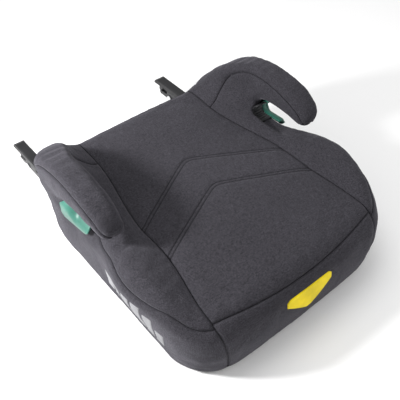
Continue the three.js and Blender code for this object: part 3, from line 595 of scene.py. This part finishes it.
def metal_material(name, color, roughness, streak=(30, 900, 900), edge_wear_and_highlight_amount=0.5):
    """Plated steel: rolled streaks, small stains and a painted highlight: its edges are painted brighter
    where light would catch them.
    """
    n = Nodes(name)
    place = n.add("TexCoord").outputs["Object"]
    streaks = n.noise(n.scaled(place, streak), 1.0, 3.0)
    stain = n.noise(place, 60.0, 4.0)
    light = tuple(min(c * 1.2, 1) for c in color)
    tone = n.ramp(stain, [(0.3, tuple(c * 0.75 for c in color)), (0.7, light)])
    edge = n.add("NewGeometry").outputs["Pointiness"]
    # painted highlight: convex edges get a lighter base colour in place of light catching them
    edge_wear_and_highlight_mask = n.ramp(edge, [(0.5, (0, 0, 0)), (0.58, (1, 1, 1))])
    bright = tuple(min(c * 2.2 + 0.1, 1) for c in color)
    n.link(n.mix(n.math("MULTIPLY", edge_wear_and_highlight_mask, edge_wear_and_highlight_amount), tone, bright), n.shader.inputs["Base Color"])
    rough = n.math("ADD", n.math("MULTIPLY", streaks, 0.22), roughness - 0.1)
    n.link(rough, n.shader.inputs["Roughness"])
    n.link(n.bump(streaks, 0.25, 0.00005), n.shader.inputs["Normal"])
    n.set(Metallic=1.0)
    return n.material


CHARCOAL_DARK = (0.0135, 0.0128, 0.0155)
CHARCOAL_LIGHT = (0.056, 0.053, 0.063)
SEAM_BLACK = (0.0025, 0.0025, 0.003)

FABRIC = fabric_material("heathered_fabric", CHARCOAL_DARK, CHARCOAL_LIGHT, SEAM_BLACK)
BINDING = fabric_material("binding_tape", (0.008, 0.008, 0.009), (0.03, 0.03, 0.034), (0.004, 0.004, 0.004))
THREAD = plastic_material("dark_thread", (0.012, 0.012, 0.015), 0.75, specular=0.2)
SHELL_BLACK = plastic_material("black_shell_plastic", (0.014, 0.014, 0.016), 0.62, grain=0.00012, scale=1500)
LATCH_BLACK = plastic_material("black_latch_plastic", (0.006, 0.006, 0.007), 0.5, specular=0.35)
LINER_BLACK = plastic_material("black_liner_plastic", (0.010, 0.010, 0.012), 0.48)
GREEN = plastic_material("green_guide_plastic", (0.013, 0.108, 0.077), 0.45, edge_wear_and_highlight_amount=0.1)
YELLOW = plastic_material("yellow_badge_rubber", (0.74, 0.57, 0.004), 0.6, specular=0.3, edge_wear_and_highlight_amount=0.0)
PRINT_WHITE = plastic_material("white_print", (0.20, 0.20, 0.21), 0.7, edge_wear_and_highlight_amount=0.0)
RUBBER = plastic_material("foot_rubber", (0.010, 0.010, 0.010), 0.85, grain=0.0002, specular=0.3)
STEEL_DARK = metal_material("dark_plated_steel", (0.014, 0.0143, 0.0155), 0.45)
STEEL_BRIGHT = metal_material("bright_plated_steel", (0.55, 0.56, 0.58), 0.3)


def foam_material():
    n = Nodes("open_cell_foam")
    place = n.add("TexCoord").outputs["Object"]
    cells = n.noise(place, 900.0, 4.0, 0.7)
    tone = n.ramp(cells, [(0.3, (0.42, 0.42, 0.38)), (0.7, (0.74, 0.74, 0.68))])
    n.link(tone, n.shader.inputs["Base Color"])
    n.link(n.bump(cells, 0.8, 0.0006), n.shader.inputs["Normal"])
    n.set(Roughness=0.95)
    return n.material


FOAM = foam_material()

# ------------------------------------------------------------------ padded cover

COVER_STEP = 3.2
CHEVRONS = ((44.0, 0.575), (-18.0, 0.5))
CHEVRON_TURN = 7.0
TWIN_HALF = 2.3
SEAM_RINGS = (1.1, 2.6)
QUILT_LINES = (-7, -3.6, -TWIN_HALF, -1.1, 1.1, TWIN_HALF, 3.6, 7)
COVER_SKIN = 2.4


def chevron_offset(points, chevron):
    """Signed distance, in plan, from a chevron's middle line."""
    apex, slope = chevron
    line_y = apex - slope * (np.hypot(points[:, 0], CHEVRON_TURN) - CHEVRON_TURN)
    return (points[:, 1] - line_y) / math.hypot(1, slope)


def seat_region(p):
    x, y, z = p.T
    return np.max([np.abs(x) - seam_x(y), -y - front_seam_y(x), y - BACK_SEAM_Y, SHELL_TOP - 4 - z], 0)


def back_region(p):
    x, y, z = p.T
    upper, lower = np.maximum(BACK_SEAM_Y - y, 82 - z), np.maximum(120 - y, z - 84)
    return np.maximum(np.abs(x) - BACK_SEAM_X, np.minimum(upper, lower))


def front_region(p):
    x, y, z = p.T
    return np.max([np.abs(x) - front_panel_x(z), y + 120, np.minimum(z - 60, y + front_seam_y(x))], 0)


def side_region(p):
    x, y, z = p.T
    across = np.abs(x)
    rim = np.interp(y, [-260, -166, -110], [118, 134, 150])
    low = np.max([z - side_seam_z(y), y - OUTER_SEAM[0][0], np.minimum(z - SHELL_TOP, rim - across)], 0)
    outline = smooth_line(OUTER_SEAM, 3) + SLOT_SPLIT + [(SLOT_SPLIT[-1][0], -20)]
    return np.minimum(low, np.maximum(ARM_SPLIT - across, polygon_distance(y, z, outline)))


def bolster_region(p):
    x, y, z = p.T
    across = np.abs(x)
    outline = smooth_line(INNER_SEAM, 3) + [(-36, 138), (-37, 134), (-260, 134), (-260, 60)]
    border = np.maximum(across - ARM_SPLIT, polygon_distance(y, z, outline))
    slot_floor = polygon_distance(y, z, SLOT_SPLIT + [(SLOT_SPLIT[-1][0], 60), (-41, 60)])
    return np.min([border, np.maximum(y + 40, z - 134), slot_floor], 0)


def hem_region(p):
    x, y, z = p.T
    return np.maximum(z - 5.5, plan_field(x, y, 45.0) + WALL_PAD - 2.5)


def tunnel_region(p):
    x, y, z = p.T
    opening = rounded_max(np.abs(np.abs(x) - ANCHOR_X) - 10.7, np.abs(z - 41.6) - 24.4, 4)
    return np.maximum(opening, 120 - y)


def cover_surface():
    """The cover's outer surface, cut along its seams: points, triangles and each triangle's panel name."""
    points, quads = wrap_field(seat_field, (-207, -212, -4), (207, 186, 199), COVER_STEP)
    points = settle(points, 3)
    triangles = triangulate(points, quads)
    labels = np.full(len(triangles), "band", dtype="<U12")
    mesh = (points, triangles, labels)
    mesh = relabel(*mesh, hem_region, "cut", "band")
    mesh = relabel(*mesh, tunnel_region, "cut", "band")
    mesh = relabel(*mesh, seat_region, "seat", "band")
    mesh = relabel(*mesh, back_region, "back", "band")
    mesh = relabel(*mesh, front_region, "front", "band")
    mesh = relabel(*mesh, side_region, "side", "band")
    mesh = relabel(*mesh, bolster_region, "bolster", "band")
    points, triangles, labels = mesh
    kept = labels != "cut"
    return points, triangles[kept], labels[kept]


def seam_samples(points, triangles, labels):
    """Points along every edge between two panels."""
    owner = np.repeat(np.unique(labels, return_inverse=True)[1], 3)
    edges, _, number, _ = unique_edges(triangles)
    low = np.full(len(edges), 99)
    high = np.full(len(edges), -1)
    np.minimum.at(low, number, owner)
    np.maximum.at(high, number, owner)
    a, b = points[edges[low != high]].transpose(1, 0, 2)
    return np.concatenate([lerp(a, b, t) for t in (0, 0.34, 0.67, 1)])


def line_profile(distance, depth, width):
    return depth * np.exp(-((distance / width) ** 2))


def low_noise(points, scale, seed):
    """Smooth repeatable noise from -1 to 1."""
    random = np.random.default_rng(seed)
    total = np.zeros(len(points))
    for _ in range(9):
        direction = random.normal(size=3)
        direction /= np.linalg.norm(direction)
        along = points @ direction * (2 * math.pi / scale)
        total += np.sin(along * random.uniform(0.6, 1.5) + random.uniform(0, 6.28))
    return total / 3.5


SWELL_STEP = 6.5
SWELL_FRAMES = 20
SWELL_LIMIT = 1.6


def swell(points, pins):
    """How far the padding stands out, from a cloth simulation of the stuffed cover held at its seams."""
    coarse, quads = wrap_field(seat_field, (-210, -216, -6), (210, 192, 201), SWELL_STEP)
    coarse = settle(coarse, 2)
    piece = make_object("swell_work", coarse, quads, FABRIC)
    held = distance_to(pins, coarse)
    under = (coarse[:, 2] < 12) | (tunnel_region(coarse) < 8)
    weight = np.clip(1 - (held - 3) / 7, 0, 1)
    weight[under] = 1
    group = piece.vertex_groups.new(name="held")
    for i in np.flatnonzero(weight > 0):
        group.add([int(i)], float(weight[i]), "REPLACE")
    cloth = piece.modifiers.new("cloth", "CLOTH")
    settings = cloth.settings
    settings.vertex_group_mass = "held"
    settings.use_pressure = True
    settings.uniform_pressure_force = 4.0
    settings.shrink_min = -0.035
    settings.quality = 4
    settings.effector_weights.gravity = 0
    settings.tension_stiffness = 12
    settings.compression_stiffness = 12
    settings.bending_stiffness = 0.6
    cloth.collision_settings.use_collision = False
    scene = bpy.context.scene
    scene.frame_start = 1
    scene.frame_end = SWELL_FRAMES
    for number in range(1, SWELL_FRAMES + 1):
        scene.frame_set(number)
    graph = bpy.context.evaluated_depsgraph_get()
    result = piece.evaluated_get(graph).to_mesh()
    moved = np.empty(len(coarse) * 3)
    result.vertices.foreach_get("co", moved)
    scene.frame_set(1)
    bpy.data.objects.remove(piece)
    outward = field_normals(coarse)
    outward /= np.linalg.norm(outward, axis=1)[:, None]
    rise = ((moved.reshape(-1, 3) / MM - coarse) * outward).sum(1)
    rise -= np.median(rise)
    rise = SWELL_LIMIT * np.tanh(rise / 4.0)
    tree = tree_of(coarse)
    found = np.empty(len(points))
    for i, p in enumerate(points):
        near = tree.find_n(p, 4)
        share = [1 / (d + 0.5) for _, _, d in near]
        found[i] = sum(rise[j] * s for (_, j, _), s in zip(near, share)) / sum(share)
    return found


def flat_patch(p):
    """Distance from the two places where the badge and the side print lie flat on the cover."""
    x, y, z = p.T
    badge_place = np.max([np.abs(x) - 44, y + 150, 32 - z, z - 84], 0)
    print_place = np.max([x + 150, y - 2, -136 - y, 24 - z, z - 101], 0)
    return np.minimum(badge_place, print_place)


mesh = cover_surface()
points, triangles, labels = mesh
seams = tree_of(seam_samples(points, triangles, labels))
edge_tree = tree_of(points[np.unique(border_edges(triangles))])


def near_seam(p):
    return distance_to(seams, p)


for ring in SEAM_RINGS:
    mesh = split(*mesh, lambda p: near_seam(p) - ring)
for chevron in CHEVRONS:
    for line in QUILT_LINES:
        mesh = split(*mesh, lambda p: chevron_offset(p, chevron) - line)
points, triangles, labels = mesh
points = settle(points, 1)

normals = field_normals(points)
normals /= np.linalg.norm(normals, axis=1)[:, None]
seam_gap = near_seam(points)
edge_gap = distance_to(edge_tree, points)
on_seat = seat_region(points) < 0.5
depth = line_profile(seam_gap, 2.0, 1.7) + line_profile(seam_gap, 0.9, 9.0)
dark = np.clip(1 - seam_gap / 1.5, 0, 1) ** 1.5
for chevron in CHEVRONS:
    gap = np.abs(chevron_offset(points, chevron))
    quilt = line_profile(gap - TWIN_HALF, 0.9, 0.95) + line_profile(gap, 0.9, 8.0)
    depth += np.where(on_seat, quilt, 0)
    dark = np.maximum(dark, np.where(on_seat, 0.75 * line_profile(gap - TWIN_HALF, 1, 0.8), 0))
depth += line_profile(edge_gap, 1.0, 4.0)
wrinkles = 0.22 * low_noise(points, 55, 3) * smooth_step(3, 16, seam_gap)
wrinkles += 0.12 * low_noise(points, 17, 5) * smooth_step(1, 6, seam_gap)
wrinkles += swell(points, seams)
depth -= wrinkles * smooth_step(1, 14, flat_patch(points))
shaped = points - normals * depth[:, None]

PANELS = [
    ("seat", 0, "cover_seat_panel"), ("back", 0, "cover_back_panel"), ("front", 0, "cover_front_panel"),
] + [
    (panel, side, f"cover_{node}_{word}")
    for panel, node in (("side", "side"), ("bolster", "bolster"), ("band", "armrest_band"))
    for word, side in SIDES
]
middle_x = points[triangles].mean(1)[:, 0]
cover_pieces = []
for panel, side, node in PANELS:
    chosen = (labels == panel) & ((side == 0) | (np.sign(middle_x) == side))
    piece = sheet_piece(
        "sewn_" + node, shaped, normals, triangles[chosen], COVER_SKIN, FABRIC, {"seam": dark}
    )
    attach(piece, "seat")
    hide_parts(node)
    cover_pieces.append(piece)

HEM_BINDING = 1.9
LATCH_BINDING = 1.1
LATCH_BINDING_SHIFT = 1.6

# Binding tape around the hem and both latch openings, kept out of the latch arms' way.
for i, loop in enumerate(loops_of(border_edges(triangles))[:3]):
    line = smoothed(resample(shaped[loop] - normals[loop] * 1.2, 4.0), 3)
    if i > 0:
        outward = line - line.mean(0)
        outward[:, 1] = 0
        line = line + LATCH_BINDING_SHIFT * outward / np.linalg.norm(outward, axis=1)[:, None]
    name = ["hem_binding", "latch_binding_a", "latch_binding_b"][i]
    binding = tube(name, line, HEM_BINDING if i == 0 else LATCH_BINDING, BINDING)
    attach(binding, "seat")


# ------------------------------------------------------------------ quilting stitches

STITCH_PITCH = 3.9
STITCH_HALF = 1.5
STITCH_RADIUS = 0.42
STITCH_DEPTH = 1.75


def surface_height(x, y):
    """The seat's height under each plan position."""
    z = seat_height(np.abs(x), y)
    for _ in range(3):
        z = z - seat_field(x, y, z)
    return z


def stitch_row(chevron, offset):
    """Middles and directions of the stitches along one line beside a chevron's middle."""
    apex, slope = chevron
    fine = np.linspace(-125, 125, 4001)
    y = apex - slope * (np.hypot(fine, CHEVRON_TURN) - CHEVRON_TURN)
    tangent = np.stack([np.gradient(fine), np.gradient(y)], 1)
    tangent /= np.linalg.norm(tangent, axis=1)[:, None]
    x = fine - tangent[:, 1] * offset
    y = y + tangent[:, 0] * offset
    length = np.concatenate([[0], np.cumsum(np.hypot(np.diff(x), np.diff(y)))])
    at = np.arange(2, length[-1], STITCH_PITCH)
    place = [np.interp(at, length, q) for q in (x, y, tangent[:, 0], tangent[:, 1])]
    inside = np.abs(place[0]) < seam_x(place[1]) - 2.5
    return [q[inside] for q in place]


def stitches():
    rings = [(-1.0, 0.12), (-0.8, 0.75), (0, 1.0), (0.8, 0.75), (1.0, 0.12)]
    all_points, faces = [], []
    for chevron in CHEVRONS:
        for offset in (-TWIN_HALF, TWIN_HALF):
            for x, y, tx, ty in zip(*stitch_row(chevron, offset)):
                start = len(all_points)
                z = float(surface_height(x, y)) - STITCH_DEPTH
                for along, size in rings:
                    for k in range(6):
                        angle = k * math.pi / 3
                        side = STITCH_RADIUS * size * math.cos(angle)
                        all_points.append((
                            x + tx * along * STITCH_HALF - ty * side,
                            y + ty * along * STITCH_HALF + tx * side,
                            z + STITCH_RADIUS * size * math.sin(angle) - 0.25 * along**2,
                        ))
                for ring in range(len(rings) - 1):
                    for k in range(6):
                        a, b = start + ring * 6 + k, start + ring * 6 + (k + 1) % 6
                        faces.append((a, b, b + 6, a + 6))
                faces.append(tuple(start + k for k in range(6))[::-1])
                faces.append(tuple(start + 24 + k for k in range(6)))
    return make_object("quilting_stitches", all_points, faces, THREAD)


thread = stitches()
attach(thread, "seat")


# ------------------------------------------------------------------ badge and side print


def face_patch(name, axis, sign, box, step, region, rise, skin, material, edge=0.8):
    """A thin piece that lies on the cover, cut to a region of its own two coordinates."""
    (u0, u1), (v0, v1) = box
    us, vs = np.arange(u0, u1 + step, step), np.arange(v0, v1 + step, step)
    u, v = (q.ravel() for q in np.meshgrid(us, vs, indexing="ij"))
    rest = [k for k in range(3) if k != axis]
    points = np.zeros((len(u), 3))
    points[:, rest[0]], points[:, rest[1]] = u, v
    points[:, axis] = sign * 185
    for _ in range(12):
        points[:, axis] -= sign * seat_field(*points.T)
    n = len(vs)
    i, j = (q.ravel() for q in np.meshgrid(range(len(us) - 1), range(n - 1), indexing="ij"))
    quads = np.stack([i * n + j, (i + 1) * n + j, (i + 1) * n + j + 1, i * n + j + 1], 1)
    if (sign > 0) == (axis == 1):
        quads = quads[:, ::-1]
    triangles = triangulate(points, quads)
    labels = np.full(len(triangles), "out", dtype="<U4")

    def value(p):
        return region(p[:, rest[0]], p[:, rest[1]])

    for inset in (edge * 0.5, edge):
        points, triangles, labels = split(points, triangles, labels, lambda p: value(p) + inset)
    points, triangles, labels = relabel(points, triangles, labels, value, "in", "out")
    outward = field_normals(points)
    outward /= np.linalg.norm(outward, axis=1)[:, None]
    inside = np.clip(-value(points) / edge, 0, 1)
    lift = rise - skin * 0.7 * (1 - np.sqrt(np.clip(1 - (1 - inside) ** 2, 0, 1)))
    top = points + outward * lift[:, None]
    return sheet_piece(name, top, outward, triangles[labels == "in"], skin, material, {"seam": lift * 0})


BADGE = [(-34, 78), (-38, 75), (-38, 68), (-3, 42), (3, 42), (38, 68), (38, 75), (34, 78)]


def badge_region(x, z):
    return polygon_distance(x, z, BADGE) - 0.9


badge = face_patch(
    "soft_badge", 1, -1, ((-44, 44), (32, 84)), 1.6, badge_region, 1.6, 1.5, YELLOW, edge=1.4
)
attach(badge, "seat")
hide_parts("front_badge")

PRINT_BARS = [(-124, 62), (-106, 88), (-88, 99), (-70, 99), (-52, 95), (-34, 84), (-16, 70)]


def print_region(y, z):
    """A row of plain slanted bars, each with its own height."""
    slanted = y + (z - 60) * 0.2
    bars = [np.max([np.abs(slanted - middle) - 7.2, z - top, 26 - z], 0) for middle, top in PRINT_BARS]
    return np.min(bars, 0)


side_print = face_patch(
    "side_print", 0, -1, ((-142, 4), (22, 104)), 2.0, print_region, 0.5, 0.8, PRINT_WHITE, edge=0.4
)
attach(side_print, "seat")

# ------------------------------------------------------------------ belt slots


def slot_path(front_y, end_angle, steps=14):
    """The slot's floor, from behind its middle and round its root, and the directions out of it."""
    root, middle = (np.array(p, float) for p in SLOT_LINE[:2])
    front = lerp(middle, root, (front_y - middle[0]) / (root[0] - middle[0]))
    run, rise = (root - middle)[:2]
    down = np.array([rise, -run]) / math.hypot(run, rise)
    centres = [lerp(front, root, t) for t in np.arange(steps) / steps]
    outward = [down] * steps
    for angle in np.linspace(math.atan2(down[1], down[0]), end_angle, steps * 2):
        centres.append(root)
        outward.append(np.array([math.cos(angle), math.sin(angle)]))
    places = [centre[:2] + out * centre[2] for centre, out in zip(centres, outward)]
    return np.array(places), np.array(outward)


def sweep(places, outward, section):
    """A closed bar along the path: section(at) gives its [x, offset] outline at each length along it."""
    length = np.concatenate([[0], np.cumsum(np.hypot(*np.diff(places, axis=0).T))])
    rings = []
    for (y, z), (ny, nz), at in zip(places, outward, length):
        outline = section(at)
        rings.append([(x, y + ny * o, z + nz * o) for x, o in outline])
    count = len(rings[0])
    faces = []
    for i in range(len(rings) - 1):
        for k in range(count):
            m = (k + 1) % count
            faces.append((i * count + k, (i + 1) * count + k, (i + 1) * count + m, i * count + m))
    faces.append(tuple(range(count)))
    faces.append(tuple((len(rings) - 1) * count + k for k in range(count))[::-1])
    return np.array(rings).reshape(-1, 3), faces


def add_sweep(name, parts, side, material):
    all_points, faces = [], []
    for pts, fcs in parts:
        start = len(all_points)
        pts = pts * [side, 1, 1]
        all_points += pts.tolist()
        faces += [tuple(start + i for i in (f if side > 0 else f[::-1])) for f in fcs]
    return make_object(name, all_points, faces, material)


GUIDE_Y = (24, 84)
GUIDE_END = math.pi * 0.52
GUIDE_EDGE = [
    (166, 115.8), (166, 118.1), (169.2, 118.1), (175.8, 107.5),
    (175.8, 101.6), (173.5, 101.6), (173.5, 106.7), (168, 115.8),
]
GUIDE_SECTION = [(160.2, -0.4), (160.2, -2.1), (160.8, -2.6), (168.2, -2.6), (168.8, -2.1), (168.8, -0.4)]
COLLAR_SECTION = [(167.5, 4.5), (167.5, -2.6), (171.6, -2.6), (172.2, -2.0), (172.2, 4.0), (171.6, 4.5)]
COLLAR_FRONT = 58
LINER_FRONT = 40
LINER_END = math.pi * 0.45
RIB_HEIGHT = 1.5
RIB_PITCH = 5.0


def guide_edge():
    """The guide's outer edge, from the lip down to a face with rounded corners, and higher round the root."""
    rings = []
    for y in np.linspace(*GUIDE_Y, 31):
        behind = y - GUIDE_Y[0]
        corner = 5.5 * max(0, 1 - min(behind, GUIDE_Y[1] - y) / 9) ** 2
        leaf = 16 * float(smooth_step(50, 74, y))
        lifts = [leaf if z > 107 else corner * min((107.5 - z) / 5.9, 1) for _, z in GUIDE_EDGE]
        rings.append([
            (x + 0.055 * behind, y, z - 0.1 * behind + lift) for (x, z), lift in zip(GUIDE_EDGE, lifts)
        ])
    count = len(GUIDE_EDGE)
    faces = [
        (i * count + k, (i + 1) * count + k, (i + 1) * count + (k + 1) % count, i * count + (k + 1) % count)
        for i in range(len(rings) - 1) for k in range(count)
    ]
    faces += [tuple(range(count)), tuple((len(rings) - 1) * count + k for k in range(count))[::-1]]
    return np.array(rings).reshape(-1, 3), faces


def liner_section(at):
    rib = RIB_HEIGHT * (0.5 + 0.5 * math.cos(2 * math.pi * at / RIB_PITCH)) ** 3
    return [
        (140.2, -0.4), (140.2, -1.5 - rib), (141.0, -2.0 - rib), (158.9, -2.0 - rib), (159.7, -1.5 - rib),
        (159.7, -0.4),
    ]


for word, side in SIDES:
    places, outward = slot_path(GUIDE_Y[0], GUIDE_END)
    round_root = places[:, 0] > COLLAR_FRONT
    parts = [
        sweep(places, outward, lambda at: GUIDE_SECTION), guide_edge(),
        sweep(places[round_root], outward[round_root], lambda at: COLLAR_SECTION),
    ]
    guide = add_sweep(f"moulded_belt_guide_{word}", parts, side, GREEN)
    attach(guide, "seat")
    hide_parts(f"belt_guide_{word}")
    parts = [sweep(*slot_path(LINER_FRONT, LINER_END, 40), liner_section)]
    liner = add_sweep(f"ribbed_slot_liner_{word}", parts, side, LINER_BLACK)
    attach(liner, "seat")
    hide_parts(f"slot_liner_{word}")

# ------------------------------------------------------------------ foam

foam_low, foam_high = ([c / MM for c in corner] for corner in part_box("seat_foam"))


def foam_field(x, y, z):
    box = [side for low, high, at in zip(foam_low, foam_high, (x, y, z)) for side in (low - at, at - high)]
    limit = box[0]
    for side in box[1:]:
        limit = rounded_max(limit, side, 4)
    return rounded_max(seat_field(x, y, z) + WALL_PAD + 1, limit, 4)


foam = make_object(
    "cut_seat_foam", *wrap_field(foam_field, [a - 6 for a in foam_low], [b + 6 for b in foam_high], 6), FOAM
)
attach(foam, "seat")
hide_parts("seat_foam")

# ------------------------------------------------------------------ CAD nodes that stay

NODE_LOOKS = [
    ("seat_shell", SHELL_BLACK), ("base_plate", SHELL_BLACK), ("guide_rail", SHELL_BLACK),
    ("adjuster_handle", GREEN), ("adjuster_rod", STEEL_DARK), ("rubber_foot", RUBBER),
    ("base_screw", STEEL_BRIGHT), ("latch_arm", STEEL_DARK), ("latch_cover", LATCH_BLACK),
    ("latch_jaw", STEEL_DARK), ("release_button", LATCH_BLACK), ("jaw_pin", STEEL_BRIGHT),
    ("jaw_spring", STEEL_BRIGHT), ("carriage_bar", STEEL_DARK), ("brake_bar", STEEL_DARK),
    ("brake_lever", STEEL_DARK), ("brake_bracket", STEEL_DARK), ("brake_pin", STEEL_BRIGHT),
    ("rod_spring", STEEL_BRIGHT),
]
BEVEL_WIDTH = {
    "base_plate": 0.5, "rubber_foot": 1.0, "latch_cover": 0.9, "adjuster_handle": 1.6, "latch_arm": 0.5,
}
for name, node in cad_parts.items():
    look = next((m for prefix, m in NODE_LOOKS if name.startswith(prefix)), None)
    if look is None:
        continue
    node.data.materials.clear()
    node.data.materials.append(look)
    if name in ("seat_shell", "adjuster_rod") or "spring" in name:
        continue
    bevel = node.modifiers.new("soft_edges", "BEVEL")
    bevel.width = next((w for prefix, w in BEVEL_WIDTH.items() if name.startswith(prefix)), 0.35) * MM
    bevel.segments = 2
    bevel.limit_method = "ANGLE"
    bevel.angle_limit = math.radians(38)

# ------------------------------------------------------------------ floor, light and camera

floor_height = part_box("rubber_foot_left_front")[0].z


def floor():
    n = Nodes("pale_floor")
    place = n.add("TexCoord").outputs["Object"]
    n.link(
        n.ramp(n.noise(place, 3.0, 2.0), [(0.3, (0.95, 0.95, 0.95)), (0.7, (0.97, 0.97, 0.97))]),
        n.shader.inputs["Base Color"],
    )
    n.set(Roughness=0.9, Specular_IOR_Level=0.1)
    z = floor_height / MM - 0.2
    corners = [(-6000, -6000, z), (6000, -6000, z), (6000, 6000, z), (-6000, 6000, z)]
    return make_object("floor", corners, [(0, 1, 2, 3)], n.material)


floor()


def area_light(name, place, target, size, power, color=(1, 1, 1)):
    data = bpy.data.lights.new(name, "AREA")
    data.shape = "DISK"
    data.size = size
    data.energy = power
    data.color = color
    lamp = bpy.data.objects.new(name, data)
    lamp.location = place
    lamp.rotation_mode = "QUATERNION"
    lamp.rotation_quaternion = (Vector(target) - Vector(place)).to_track_quat("-Z", "Y")
    bpy.context.scene.collection.objects.link(lamp)
    return lamp


area_light("key", (-0.62, 0.2, 0.48), (-0.02, 0.0, 0.1), 0.12, 8.5)
area_light("top", (-0.1, 0.3, 1.5), (0, 0, 0.1), 0.9, 6.0)
area_light("fill", (1.1, -0.9, 0.7), (0.05, -0.05, 0.08), 0.8, 3.0)

world = bpy.data.worlds.new("studio")
world.use_nodes = True
world.node_tree.nodes["Background"].inputs["Color"].default_value = (1, 1, 1, 1)
world.node_tree.nodes["Background"].inputs["Strength"].default_value = 0.68
bpy.context.scene.world = world
bpy.context.scene.view_settings.view_transform = "Standard"

AZIMUTH, ELEVATION = math.radians(-39.5), math.radians(46)
DISTANCE, SHIFT_RIGHT, SHIFT_UP = 0.8844, -0.0092, 0.0502
right = Vector((math.cos(AZIMUTH), math.sin(AZIMUTH), 0))
back = Vector((
    math.sin(AZIMUTH) * math.cos(ELEVATION), -math.cos(AZIMUTH) * math.cos(ELEVATION), math.sin(ELEVATION),
))
up = back.cross(right)
lens = bpy.data.cameras.new("camera")
lens.lens = 53.13
lens.sensor_width = 36
camera = bpy.data.objects.new("camera", lens)
bpy.context.scene.collection.objects.link(camera)
camera.matrix_world = Matrix.Translation(right * SHIFT_RIGHT + up * SHIFT_UP + back * DISTANCE) @ Matrix((
    (right.x, up.x, back.x, 0), (right.y, up.y, back.y, 0), (right.z, up.z, back.z, 0), (0, 0, 0, 1),
))
lens.clip_start = 0.01
bpy.context.scene.camera = camera
